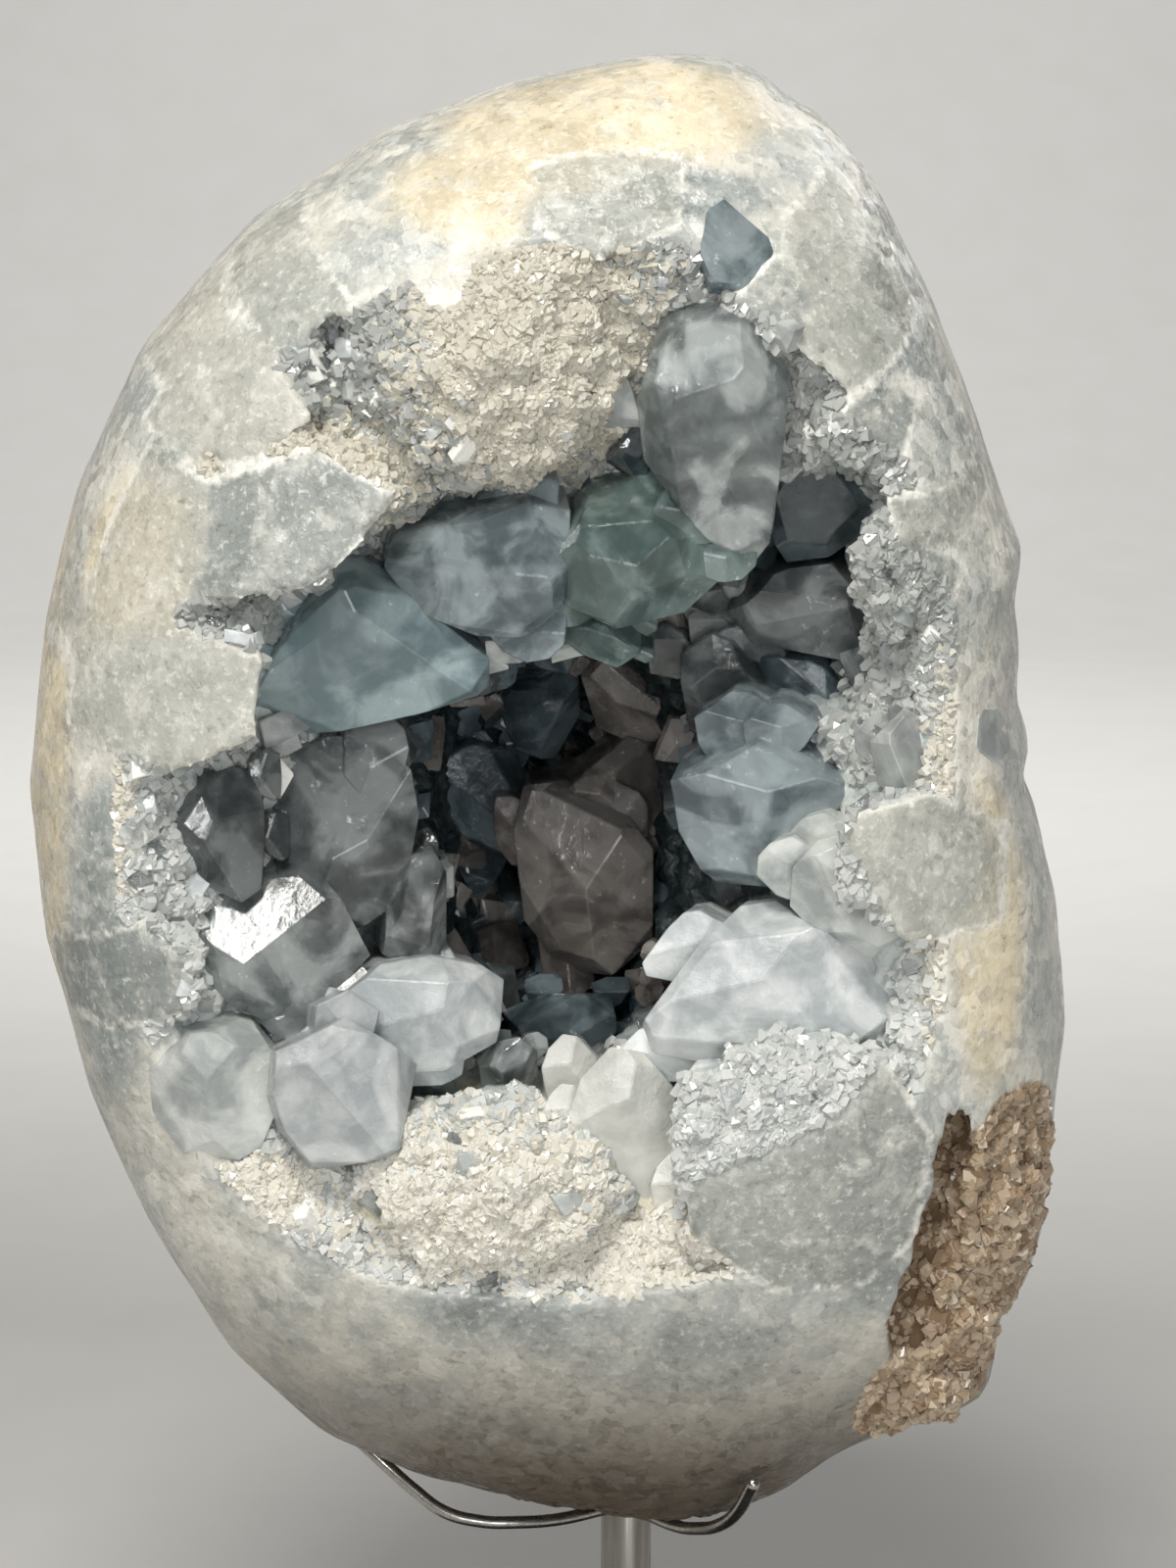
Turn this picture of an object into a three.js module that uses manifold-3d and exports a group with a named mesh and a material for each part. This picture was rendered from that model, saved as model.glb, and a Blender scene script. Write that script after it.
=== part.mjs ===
// Celestite geode, ground and polished to a tall egg, with the hollow full of crystals at its front,
// held upright in a cradle of four bent wire arms on a steel post with a round foot.
// Millimetres, +Z up, -Y towards the viewer. The origin is the centre of the foot's underside.
import * as THREE from "three";
import { ConvexGeometry } from "three/addons/geometries/ConvexGeometry.js";
import { mergeVertices } from "three/addons/utils/BufferGeometryUtils.js";
import Module from "manifold-3d";

const wasm = await Module();
wasm.setup();

// ---- Driving dimensions, in mm ----

const GAP = 0.35; // clearance between neighbouring pieces
const LIFT = 80; // height of the stone's lowest point above the floor
const STONE_FRONT = 72; // reach of the stone in front of its widest section
const STONE_BACK = 84; // reach of the stone behind its widest section
const MOUTH_PLANE = -57; // depth of the plane that the mouth's outline is drawn on
const CAVITY_DEPTH = 100; // depth of the cut in the shell behind that plane
const HOLLOW_DEPTH = 92; // depth of the open hollow behind that plane
const RECESS_DEPTH = 56; // depth of the side recess behind that plane
const FILLER_COUNT = 3; // small crystals between the large ones
const FOOT_RADIUS = 75;
const FOOT_THICKNESS = 12;
const FOOT_CHAMFER = 1.5;
const POST_RADIUS = 5;
const WIRE_RADIUS = 1.3;

// The stone's widest section seen from the front: across and height above its lowest point, clockwise.
const STONE_CENTRE = [-14, 140];
const STONE_OUTLINE = [
  [3, 286], [14, 286], [22, 284], [28, 280], [29, 277.5], [35, 276], [46, 262.5], [56, 243],
  [64, 223], [71, 202], [74, 195.5], [72.5, 186], [74, 177], [73, 168], [76, 159], [74.5, 152],
  [76.5, 148], [78, 143], [82, 128], [84, 104], [82.5, 82], [81, 60], [78, 50], [73, 44],
  [73, 37], [71, 27], [62, 22.5], [51, 20], [43, 16.5], [31.5, 7.6], [18, 1.5], [4, 0],
  [-19, 5], [-42, 11], [-60, 19.5], [-78, 38], [-93, 64], [-104, 92], [-111, 120], [-113.5, 150],
  [-110, 182], [-103, 208], [-91.5, 232], [-70.5, 256], [-47.5, 270.5], [-45.5, 272.5], [-22, 281],
];

// The mouth of the hollow, in the same way, and the place that its walls run in to.
const HOLLOW_CENTRE = [-8, 138];
const MOUTH_OUTLINE = [
  [38, 254], [55, 224], [63, 203], [64, 180], [57, 145], [55, 112], [46, 84], [28, 70],
  [-8, 62], [-40, 64], [-67, 74], [-85, 88], [-94, 118], [-96, 150], [-93, 190], [-85, 216],
  [-76, 239], [-57, 249], [-19, 259], [17, 262],
];

// The deep hole in the middle, and the recess beside it at the upper right.
const HOLE_CENTRE = [-14, 138];
const HOLE_OUTLINE = [
  [5, 180], [13, 168], [13, 144], [11, 120], [4, 103], [-8, 93], [-23, 95], [-36, 106], [-38, 121],
  [-41, 139], [-43, 157], [-40, 170], [-25, 178], [-11, 181],
];
const RECESS_CENTRE = [31, 187];
const RECESS_OUTLINE = [
  [40, 216], [48, 208], [48, 190], [46, 172], [42, 162], [26, 160], [12, 163], [14, 180], [18, 198],
  [27, 214],
];

// Lumps of sugary druse on the walls: across, depth, height and the three radii.
const DRUSE_LUMPS = [
  [-27, -44, 234, 24, 15, 24],
  [-58, -42, 213, 24, 10, 12],
  [-26, -52, 81, 24, 11, 17],
];

// The brown matrix at the lower right and what is broken out of the stone: a crack and two small pits.
const MATRIX_LUMPS = [
  [55, -28, 39, 12, 16, 10],
  [61, -30, 54, 11, 17, 15],
  [66, -31, 76, 12, 20, 19],
];
const MATRIX_BITES = [
  [58, -49, 89, 4, 9, 13],
  [57, -49, 72, 4, 9, 14],
  [53, -47, 55, 4, 9, 14],
  [-20, -56, 29, 5, 6, 4],
  [-54, -50, 235, 4, 8, 5],
];

// The large crystals. Each is a prism with its outline seen from the front (across, height), which runs
// back from the depth front by length; the facets of its point pass through peak, and each turns towards
// a direction in degrees, leans back by an angle in degrees and lies a distance behind the peak. The
// slabs reach out past the stone's surface, so they end ground flush with it.
const CRYSTALS = [
  { name: "great_clear", front: -63, peak: [12, 223], length: 34,
    outline: [[2, 213], [1, 225], [5.5, 241], [12, 244], [23.5, 238], [28, 229.5], [26.5, 212],
      [25.5, 201], [21.5, 198], [14, 202]],
    facets: [[115, 14, 0], [330, 30, 0], [215, 34, 0], [285, 26, 3]] },
  { name: "roof_blue", front: -60, peak: [17, 255], length: 24,
    outline: [[11, 248.5], [12.5, 257.5], [17, 260.5], [22, 259.5], [25, 251], [23.5, 245], [13.5, 244]],
    facets: [[80, 35, 0], [250, 16, 0], [350, 28, 1]] },
  { name: "roof_grey", front: -58, peak: [25, 246], length: 24,
    outline: [[17.5, 246.5], [25.5, 251], [33.5, 247.5], [34.5, 241], [26.5, 236.5], [17.5, 240.5]],
    facets: [[100, 20, 0], [290, 14, 0]] },
  { name: "roof_dark", front: -52, peak: [10, 246], length: 16,
    outline: [[6, 245], [8.5, 248], [11, 249], [15, 246.5], [14, 243], [8.5, 243.5]],
    facets: [[90, 25, 0], [270, 20, 0]] },
  { name: "stepped_right", front: -58, peak: [42, 223], length: 22,
    outline: [[35, 221.5], [38, 226.5], [43.5, 229.5], [48, 226.5], [50.5, 222.5], [49, 217],
      [45.5, 211.5], [40, 214.5]],
    facets: [[80, 22, 0], [280, 30, 0], [10, 26, 1]] },
  { name: "bar_crystal", front: -42, peak: [35, 214], length: 30,
    outline: [[26.5, 216.5], [33, 219], [42.5, 214], [45, 209], [43.5, 200.5], [37, 196], [28.5, 194],
      [26, 201.5]],
    facets: [[95, 36, 0], [255, 9, 0]] },
  { name: "right_upper_violet", front: -58, peak: [50, 196], length: 24,
    outline: [[42, 200], [45.5, 206.5], [51, 204], [59, 195.5], [58, 190], [52.5, 184.5], [46, 186],
      [42, 192]],
    facets: [[60, 15, 0], [240, 12, 0], [330, 28, 2]] },
  { name: "right_upper_rim", front: -60, peak: [53, 204], length: 20,
    outline: [[45.5, 210.5], [53, 208.5], [60, 205.5], [60.5, 200.5], [55, 198.5], [49, 202.5]],
    facets: [[80, 20, 0], [260, 16, 0]] },
  { name: "right_mid_plate", front: -34, peak: [32, 188], length: 24,
    outline: [[16.5, 187.5], [22.5, 191.5], [30.5, 194.5], [42, 196], [46.5, 173.5], [22.5, 179.5]],
    facets: [[100, 10, 0], [255, 16, 0]] },
  { name: "right_mid_blue", front: -28, peak: [36, 169], length: 22,
    outline: [[23.5, 178], [35, 176], [43.5, 171.5], [44, 168.5], [42, 162.5], [34.5, 160.5],
      [27.5, 169]],
    facets: [[50, 12, 0], [230, 18, 0]] },
  { name: "right_mid_grey", front: -30, peak: [21, 170], length: 22,
    outline: [[9.5, 176], [16, 181], [24, 178], [29.5, 170.5], [34.5, 160.5], [21, 157.5], [10.5, 159.5]],
    facets: [[140, 12, 0], [320, 16, 0], [250, 24, 2]] },
  { name: "right_frost_block", front: -52, peak: [62, 163], length: 22,
    outline: [[53.5, 159.5], [55.5, 166], [60, 170], [66.5, 169], [69.5, 164], [69, 158.5], [62, 154.5]],
    facets: [[100, 14, 0], [270, 22, 0]] },
  { name: "right_frost_low", front: -58, peak: [49, 163], length: 20,
    outline: [[43.5, 164.5], [49, 170], [55.5, 166.5], [54, 158], [50, 153], [44.5, 156]],
    facets: [[60, 16, 0], [240, 14, 0]] },
  { name: "right_big_upper", front: -48, peak: [25, 154], length: 36,
    outline: [[7.5, 156], [21, 165], [27.5, 164.5], [38.5, 158], [42.5, 152.5], [37, 144], [27.5, 135],
      [15.5, 135], [9, 145.5]],
    facets: [[75, 26, 0], [250, 8, 0], [340, 16, 0]] },
  { name: "right_big_lower", front: -60, peak: [24, 122], length: 38,
    outline: [[2.5, 112.5], [12.5, 127], [19, 133.5], [25.5, 134.5], [48.5, 123], [50.5, 113.5],
      [40.5, 105], [18, 104], [4, 107]],
    facets: [[110, 24, 0], [270, 9, 0], [20, 15, 0]] },
  { name: "right_outer", front: -59, peak: [42, 138], length: 28,
    outline: [[30, 141.5], [34.5, 146.5], [42, 148.5], [49.5, 144.5], [53, 138], [53, 128.5], [48, 122.5],
      [36.5, 126.5], [29, 134]],
    facets: [[60, 18, 0], [230, 12, 0], [330, 18, 1]] },
  { name: "floor_frost", front: -62, peak: [4, 93], length: 28,
    outline: [[-11.5, 95], [-9, 102.5], [-3.5, 108.5], [2.5, 107.5], [9, 99.5], [11.5, 85], [11, 81],
      [2.5, 77.5], [-4, 76.5], [-10, 82.5]],
    facets: [[120, 12, 0], [0, 40, 4], [265, 24, 3]] },
  { name: "button", front: -62, peak: [-75, 99], length: 26,
    outline: [[-87.5, 106.5], [-83.5, 112.5], [-77, 115], [-68.5, 112.5], [-64, 106.5], [-64, 96.5],
      [-67, 89.5], [-73, 86], [-81.5, 88], [-87, 95.5]],
    facets: [[95, 16, 0], [265, 26, 0], [190, 22, 1], [0, 18, 1]] },
  { name: "left_low_block", front: -54, peak: [-34, 115], length: 32,
    outline: [[-62.5, 107], [-56.5, 113.5], [-45.5, 122], [-36, 123.5], [-26.5, 121.5], [-22, 118.5],
      [-24, 107], [-34.5, 102], [-55, 101]],
    facets: [[135, 12, 0], [0, 36, 0], [265, 16, 0]] },
  { name: "left_low_small", front: -48, peak: [-21, 102], length: 20,
    outline: [[-28, 102.5], [-25, 106], [-20.5, 107], [-17, 104.5], [-16.5, 99.5], [-20.5, 95.5],
      [-27, 96.5]],
    facets: [[90, 24, 0], [270, 20, 0]] },
  { name: "left_striated", front: -56, peak: [-74, 147], length: 28,
    outline: [[-83, 154], [-76.5, 159.5], [-66, 157.5], [-65.5, 145.5], [-66.5, 136], [-71, 134],
      [-77.5, 137.5], [-83, 147.5]],
    facets: [[100, 14, 0], [280, 12, 0], [10, 26, 1]] },
  { name: "left_smooth", front: -45, peak: [-52, 147], length: 32,
    outline: [[-65.5, 158.5], [-55, 162.5], [-45.5, 162], [-40, 156.5], [-38.5, 148], [-42, 131.5],
      [-51, 126], [-61.5, 130.5], [-67, 137.5]],
    facets: [[160, 8, 0], [340, 14, 0], [90, 20, 2]] },
  { name: "mirror", front: -56, peak: [-66, 128], length: 32,
    outline: [[-86.5, 132.5], [-75, 138], [-62, 142], [-54.5, 139], [-45.5, 123.5], [-55, 114],
      [-64.5, 111], [-73.5, 115], [-83, 126.5]],
    facets: [[99, 34, 0], [250, 22, 0], [345, 20, 0], [180, 24, 1]] },
  { name: "left_post", front: -44, peak: [-37, 137], length: 26,
    outline: [[-45, 130.5], [-41, 140.5], [-36.5, 142], [-34, 137.5], [-33.5, 121], [-40, 119],
      [-46, 122]],
    facets: [[80, 34, 0], [265, 7, 0]] },
  { name: "teal_block", front: -50, peak: [-47, 182], length: 40,
    outline: [[-68, 174.5], [-61.5, 184.5], [-50.5, 196], [-43, 192], [-24.5, 176], [-24, 170],
      [-64, 160], [-68.5, 165]],
    facets: [[205, 12, 0], [25, 30, 0], [275, 22, 2]] },
  { name: "roof_pale", front: -54, peak: [-26, 195], length: 34,
    outline: [[-44, 192.5], [-42, 198], [-33.5, 203], [-19, 207.5], [-10.5, 204.5], [-12, 190],
      [-18, 183.5], [-27.5, 181.5], [-37.5, 184.5]],
    facets: [[80, 16, 0], [270, 14, 0], [190, 22, 2]] },
  { name: "roof_strip", front: -44, peak: [-17, 181], length: 26,
    outline: [[-26, 175.5], [-26.5, 181], [-15.5, 186.5], [-10, 180.5], [-10, 179]],
    facets: [[100, 24, 0], [290, 40, 1]] },
  { name: "green_block", front: -54, peak: [1, 196], length: 36,
    outline: [[-13, 189], [-13, 199], [-8, 205.5], [3, 208.5], [11.5, 205.5], [16.5, 196.5], [16, 190.5],
      [9.5, 184.5], [-2.5, 185]],
    facets: [[80, 18, 0], [255, 10, 0], [340, 26, 0]] },
  { name: "green_tip", front: -48, peak: [-5, 182], length: 26,
    outline: [[-17, 187], [-10, 187.5], [2, 184.5], [2, 179], [-2.5, 175.5], [-9, 178.5]],
    facets: [[60, 14, 0], [250, 18, 0]] },
  { name: "hollow_red", front: 2, peak: [1, 166], length: 30,
    outline: [[-10, 172.5], [4, 179], [10, 169.5], [10.5, 156.5], [2, 153], [-6, 156.5]],
    facets: [[60, 16, 0], [220, 14, 0]] },
  { name: "hollow_knot", front: -6, peak: [-1, 146], length: 26,
    outline: [[-14, 145], [-8, 150], [0, 155], [7, 153], [9, 146], [7, 136.5], [-2, 135.5], [-12, 136.5]],
    facets: [[90, 24, 0], [270, 20, 0], [0, 30, 1]] },
  { name: "hollow_main", front: -14, peak: [-8, 129], length: 30,
    outline: [[-22, 139.5], [-20, 148], [-12, 148.5], [0, 142.5], [5, 135.5], [5, 117], [-3, 111],
      [-12, 111], [-20, 121]],
    facets: [[100, 14, 0], [350, 24, 0], [200, 28, 0]] },
  { name: "hollow_left", front: 4, peak: [-30, 144], length: 26,
    outline: [[-40, 152], [-30, 154], [-23, 152], [-18, 145], [-23, 129.5], [-33, 134], [-39, 140]],
    facets: [[60, 14, 0], [230, 14, 0]] },
  { name: "hollow_back", front: 12, peak: [-16, 161], length: 20,
    outline: [[-20, 173.5], [-10, 173.5], [-9, 157.5], [-14, 148], [-22, 151], [-26, 161.5]],
    facets: [[100, 16, 0], [280, 14, 0]] },
  { name: "hollow_low", front: -24, peak: [-13, 102], length: 20,
    outline: [[-25.5, 105.5], [-16, 109.5], [-3, 109.5], [-2, 102.5], [-8, 93], [-17, 90], [-22.5, 95.5]],
    facets: [[90, 22, 0], [270, 18, 0]] },
  { name: "hollow_pebble", front: -34, peak: [5, 117], length: 16,
    outline: [[2, 114.5], [3.5, 119.5], [7.5, 121.5], [10.5, 118.5], [8.5, 113.5], [4.5, 111.5]],
    facets: [[90, 25, 0], [270, 20, 0]] },
  { name: "hollow_right", front: -8, peak: [11, 129], length: 26,
    outline: [[6, 136], [10, 142], [16, 136], [18, 124], [13, 116], [5, 114], [4, 124]],
    facets: [[160, 20, 0], [340, 20, 0]] },
  { name: "upper_left_block", front: -54, peak: [-61, 243], length: 22,
    outline: [[-68.5, 244.5], [-65, 249.5], [-57, 249.5], [-50.5, 246.5], [-53.5, 241], [-58, 235.5],
      [-63.5, 235], [-69, 239.5]],
    facets: [[70, 14, 0], [240, 12, 0]] },
  { name: "upper_left_layered", front: -52, peak: [-71, 230], length: 22,
    outline: [[-84.5, 232], [-77, 238.5], [-67, 238.5], [-58, 233.5], [-58, 229], [-70, 223], [-81, 218]],
    facets: [[110, 14, 0], [300, 16, 0]] },
  { name: "mid_dark_small", front: -53, peak: [-36, 215], length: 16,
    outline: [[-40, 214.5], [-37.5, 218.5], [-33.5, 217], [-33.5, 213.5], [-38.5, 211]],
    facets: [[90, 24, 0], [270, 20, 0]] },
  { name: "floor_small", front: -62, peak: [-45, 78], length: 16,
    outline: [[-50.5, 78], [-48, 82], [-42.5, 82], [-40.5, 77], [-45.5, 73]],
    facets: [[90, 20, 0], [270, 20, 0]] },
  { name: "floor_rhomb", front: -64, peak: [24, 82], length: 14,
    outline: [[20.5, 81.5], [23.5, 85.5], [27, 82], [24.5, 78.5]],
    facets: [[60, 16, 0], [240, 16, 0]] },
  { name: "left_cream_slab", front: -74, peak: [-82, 196], length: 44,
    outline: [[-97, 196], [-90.5, 204.5], [-77, 209.5], [-67, 206.5], [-68, 193], [-79, 184], [-95, 181.5]],
    facets: [[0, 0, 0]] },
  { name: "left_clear_slab", front: -74, peak: [-57, 199], length: 40,
    outline: [[-74.5, 206], [-54, 215.5], [-40, 209], [-37.5, 198.5], [-54, 193.5], [-64.5, 182],
      [-77, 185.5]],
    facets: [[300, 6, 5]] },
  { name: "left_low_slab", front: -74, peak: [-80, 172], length: 44,
    outline: [[-97, 179.5], [-79, 185.5], [-63.5, 181], [-65.5, 166.5], [-79, 158.5], [-94, 161.5]],
    facets: [[0, 0, 0]] },
  { name: "left_small_clear", front: -62, peak: [-88, 122], length: 34,
    outline: [[-98, 127], [-87, 133], [-79.5, 127.5], [-80.5, 116], [-92.5, 111], [-98, 116.5]],
    facets: [[120, 20, 0], [300, 15, 0]] },
  { name: "lower_blue_slab", front: -70, peak: [33, 87], length: 40,
    outline: [[9, 102], [25.5, 113], [46, 108], [53.5, 94], [50.5, 75], [41, 66], [24.5, 65], [11, 75.5]],
    facets: [[100, 12, 2], [270, 6, 0]] },
  { name: "right_slab", front: -66, peak: [52, 143], length: 34,
    outline: [[40, 153], [54, 156], [63.5, 147.5], [64.5, 131], [51, 128.5], [39.5, 140]],
    facets: [[60, 14, 0], [240, 8, 0]] },
  { name: "low_left_blue", front: -63, peak: [-52, 100], length: 34,
    outline: [[-65, 108], [-51.5, 114.5], [-38, 105.5], [-43, 88.5], [-57.5, 85.5], [-66, 96.5]],
    facets: [[20, 14, 0], [240, 12, 0]] },
  { name: "roof_mid_slab", front: -74, peak: [-5, 252], length: 44,
    outline: [[-19, 258.5], [-4, 262.5], [9.5, 256.5], [8, 246], [-6, 242.5], [-17, 246.5]],
    facets: [[0, 0, 0]] },
  { name: "roof_right_slab", front: -62, peak: [38, 240], length: 38,
    outline: [[25, 252.5], [37, 254.5], [46, 243.5], [51, 228.5], [38, 227], [28.5, 236.5]],
    facets: [[60, 12, 0], [250, 10, 0]] },
  { name: "upper_left_slab", front: -70, peak: [-72, 221], length: 44,
    outline: [[-89.5, 222], [-76, 234.5], [-59.5, 228.5], [-54, 220.5], [-68, 211.5], [-84.5, 209]],
    facets: [[0, 0, 0]] },
];

// The cradle's arms: the route of each wire's middle line from the post (across, depth, height above the
// stone's lowest point). Each is trimmed where it meets the stone, so its end beds against it.
const ARMS = {
  arm_front_left: [
    [-4.4, -3.2, 0.6], [-13.4, -8, 0.3], [-21, -11, 0.8], [-29, -12.5, 1.6], [-36, -12.5, 3.6],
    [-42, -11, 7.6], [-48, -9, 12.4], [-54, -6, 17],
  ],
  arm_front_right: [
    [4.4, -3.2, -0.6], [10, -10, -0.4], [13.5, -16, 1.4], [18, -28, 6.8], [21, -37, 13], [23.4, -45, 21.2],
  ],
  arm_back_left: [[-4.4, 3.2, -0.5], [-15, 13, -0.6], [-25, 24, 4], [-34, 36, 13], [-40, 46, 23]],
  arm_back_right: [
    [4.4, 3.2, -1.5], [16, 10, -2.6], [26, 14, -1.4], [33, 17, 2], [41, 20, 8.6],
    [48, 22.5, 14.8], [53, 24, 20.5],
  ],
};

// ---- Helpers ----

// A seeded generator, so that the small crystals always come out the same.
function seeded(seed) {
  let state = seed;
  return () => {
    state = (Math.imul(state, 1664525) + 1013904223) >>> 0;
    return state / 2 ** 32;
  };
}

function toSolid(geometry) {
  const bare = geometry.clone();
  bare.deleteAttribute("normal");
  bare.deleteAttribute("uv");
  const merged = mergeVertices(bare, 1e-4);
  return new wasm.Manifold(
    new wasm.Mesh({
      numProp: 3,
      vertProperties: new Float32Array(merged.attributes.position.array),
      triVerts: new Uint32Array(merged.index.array),
    }),
  );
}

function toGeometry(solid) {
  const mesh = solid.getMesh();
  const geometry = new THREE.BufferGeometry();
  geometry.setAttribute("position", new THREE.BufferAttribute(mesh.vertProperties, 3));
  geometry.setIndex(new THREE.BufferAttribute(mesh.triVerts, 1));
  geometry.computeVertexNormals();
  return geometry;
}

const largestBody = (solid) => solid.decompose().sort((a, b) => b.volume() - a.volume())[0];

// Evenly spread points on the closed smooth curve through an outline.
function smoothOutline(outline, pointsPerSpan) {
  const corners = outline.map(([x, z]) => new THREE.Vector3(x, z, 0));
  const curve = new THREE.CatmullRomCurve3(corners, true, "centripetal");
  return curve.getPoints(outline.length * pointsPerSpan).slice(0, -1);
}

// An outline with its small steps and notches rubbed out: each point goes to the middle of its neighbours.
const RUB_REACH = 7;
function rubbedDown(outline) {
  return outline.map((corner, i) => {
    const middle = new THREE.Vector3();
    for (let j = -RUB_REACH; j <= RUB_REACH; j++) middle.add(outline.at((i + j) % outline.length));
    return middle.divideScalar(2 * RUB_REACH + 1);
  });
}

// A closed rounded body round an outline: rings of the outline shrink towards the centre in front of and
// behind the plane y = middle. A roundness of 2 gives an ellipse, more a boxier body, 1 a cone.
const DETAIL_FADE = 5; // how soon the outline's notches run out in front and behind
function roundedBody({ outline, plain = outline, centre, middle, front, back, frontRound, footRound,
  backRound, ringAngles, grow = 0 }) {
  const [centreX, centreZ] = centre;
  const points = [];
  const count = outline.length;
  for (const degrees of ringAngles) {
    const angle = THREE.MathUtils.degToRad(degrees);
    const detail = Math.cos(angle) ** DETAIL_FADE;
    const reach = (angle < 0 ? front : back) + grow;
    for (let i = 0; i < count; i++) {
      const corner = plain[i].clone().lerp(outline[i], detail);
      const out = new THREE.Vector2(corner.x - centreX, corner.y - centreZ);
      const below = Math.max(0, -out.y / out.length()) ** 2;
      const round = angle < 0 ? frontRound + (footRound - frontRound) * below : backRound;
      out.setLength(out.length() + grow).multiplyScalar(Math.cos(angle) ** (2 / round));
      const depth = Math.sign(angle) * reach * Math.abs(Math.sin(angle)) ** (2 / round);
      points.push(centreX + out.x, middle + depth, centreZ + out.y + LIFT);
    }
  }
  const frontPole = points.length / 3;
  points.push(centreX, middle - front - grow, centreZ + LIFT);
  points.push(centreX, middle + back + grow, centreZ + LIFT);
  const faces = [];
  const lastRing = (ringAngles.length - 1) * count;
  for (let i = 0; i < count; i++) {
    const next = (i + 1) % count;
    faces.push(frontPole, next, i, frontPole + 1, lastRing + i, lastRing + next);
    for (let ring = 0; ring < ringAngles.length - 1; ring++) {
      const a = ring * count + i;
      const b = ring * count + next;
      faces.push(a, b, a + count, b, b + count, a + count);
    }
  }
  const geometry = new THREE.BufferGeometry();
  geometry.setAttribute("position", new THREE.Float32BufferAttribute(points, 3));
  geometry.setIndex(faces);
  return toSolid(geometry);
}

// A low lump with a broken surface.
const UNEVENNESS = 0.16;
function roughLump([x, y, z, radiusX, radiusY, radiusZ], random) {
  const ball = new THREE.IcosahedronGeometry(1, 1);
  ball.deleteAttribute("normal");
  ball.deleteAttribute("uv");
  const lump = mergeVertices(ball, 1e-4);
  const places = lump.attributes.position;
  for (let i = 0; i < places.count; i++) {
    const stretch = 1 - UNEVENNESS + 2 * UNEVENNESS * random();
    places.setXYZ(
      i,
      x + radiusX * stretch * places.getX(i),
      y + radiusY * stretch * places.getY(i),
      z + LIFT + radiusZ * stretch * places.getZ(i),
    );
  }
  return toSolid(lump);
}

// The solid that a set of planes encloses: every corner is where three of them meet.
function solidBetween(planes) {
  const corners = [];
  const across = new THREE.Matrix3();
  for (let i = 0; i < planes.length; i++) {
    for (let j = i + 1; j < planes.length; j++) {
      for (let k = j + 1; k < planes.length; k++) {
        const [a, b, c] = [planes[i], planes[j], planes[k]];
        across.set(...a.normal.toArray(), ...b.normal.toArray(), ...c.normal.toArray());
        if (Math.abs(across.determinant()) < 1e-4) continue;
        const corner = new THREE.Vector3(-a.constant, -b.constant, -c.constant);
        corner.applyMatrix3(across.clone().invert());
        if (planes.every((plane) => plane.distanceToPoint(corner) < 1e-4)) corners.push(corner);
      }
    }
  }
  return toSolid(new ConvexGeometry(corners));
}

const planeThrough = (normal, point) => new THREE.Plane().setFromNormalAndCoplanarPoint(normal, point);

// A facet of a point: towards a direction in the front view, leaning back from straight to the front.
function facetNormal(direction, lean) {
  const turn = THREE.MathUtils.degToRad(direction);
  const tilt = THREE.MathUtils.degToRad(lean);
  return new THREE.Vector3(
    Math.cos(turn) * Math.sin(tilt),
    -Math.cos(tilt),
    Math.sin(turn) * Math.sin(tilt),
  );
}

// A large crystal. It widens outwards as it runs back to the wall that it grows from.
const SPREAD = 0.006; // sideways run of the prism, for each mm from the hollow's centre and mm of length
const SHOULDER = 6; // the prism's outline is drawn this far behind its peak
function largeCrystal({ front, peak, length, outline, facets }) {
  const away = new THREE.Vector3(
    (peak[0] - HOLLOW_CENTRE[0]) * SPREAD,
    1,
    (peak[1] - HOLLOW_CENTRE[1]) * SPREAD,
  ).normalize();
  const tip = new THREE.Vector3(peak[0], front, peak[1] + LIFT);
  const corners = outline.map(([x, z]) => new THREE.Vector3(x, front + SHOULDER, z + LIFT));
  const middle = corners.reduce((sum, c) => sum.add(c), new THREE.Vector3()).divideScalar(corners.length);
  const planes = corners.map((corner, i) => {
    const edge = corners[(i + 1) % corners.length].clone().sub(corner);
    const plane = planeThrough(edge.cross(away).normalize(), corner);
    return plane.distanceToPoint(middle) > 0 ? plane.negate() : plane;
  });
  for (const [direction, lean, behind] of facets) {
    const normal = facetNormal(direction, lean);
    planes.push(planeThrough(normal, tip.clone().addScaledVector(normal, -behind)));
  }
  planes.push(planeThrough(away, tip.clone().addScaledVector(away, length)));
  return solidBetween(planes);
}

// A small crystal: a four-sided prism with a chisel point, growing from a foot along a direction.
function smallCrystal(foot, growth, width, length, random) {
  const turn = random() * Math.PI;
  const side = new THREE.Vector3(Math.cos(turn), 0, Math.sin(turn)).cross(growth).normalize();
  const flank = new THREE.Vector3().crossVectors(growth, side);
  const tip = foot.clone().addScaledVector(growth, length);
  const planes = [planeThrough(growth.clone().negate(), foot.clone().addScaledVector(growth, -length))];
  for (const [axis, half] of [[side, width / 2], [flank, width * (0.3 + 0.25 * random())]]) {
    for (const sign of [1, -1]) {
      const outward = axis.clone().multiplyScalar(sign);
      planes.push(planeThrough(outward, foot.clone().addScaledVector(outward, half)));
    }
  }
  for (const sign of [1, -1]) {
    const lean = THREE.MathUtils.degToRad(30 + 22 * random());
    const outward = growth.clone().multiplyScalar(Math.cos(lean));
    outward.addScaledVector(side, sign * Math.sin(lean));
    planes.push(planeThrough(outward, tip));
  }
  return solidBetween(planes);
}

// ---- The stone ----

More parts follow.
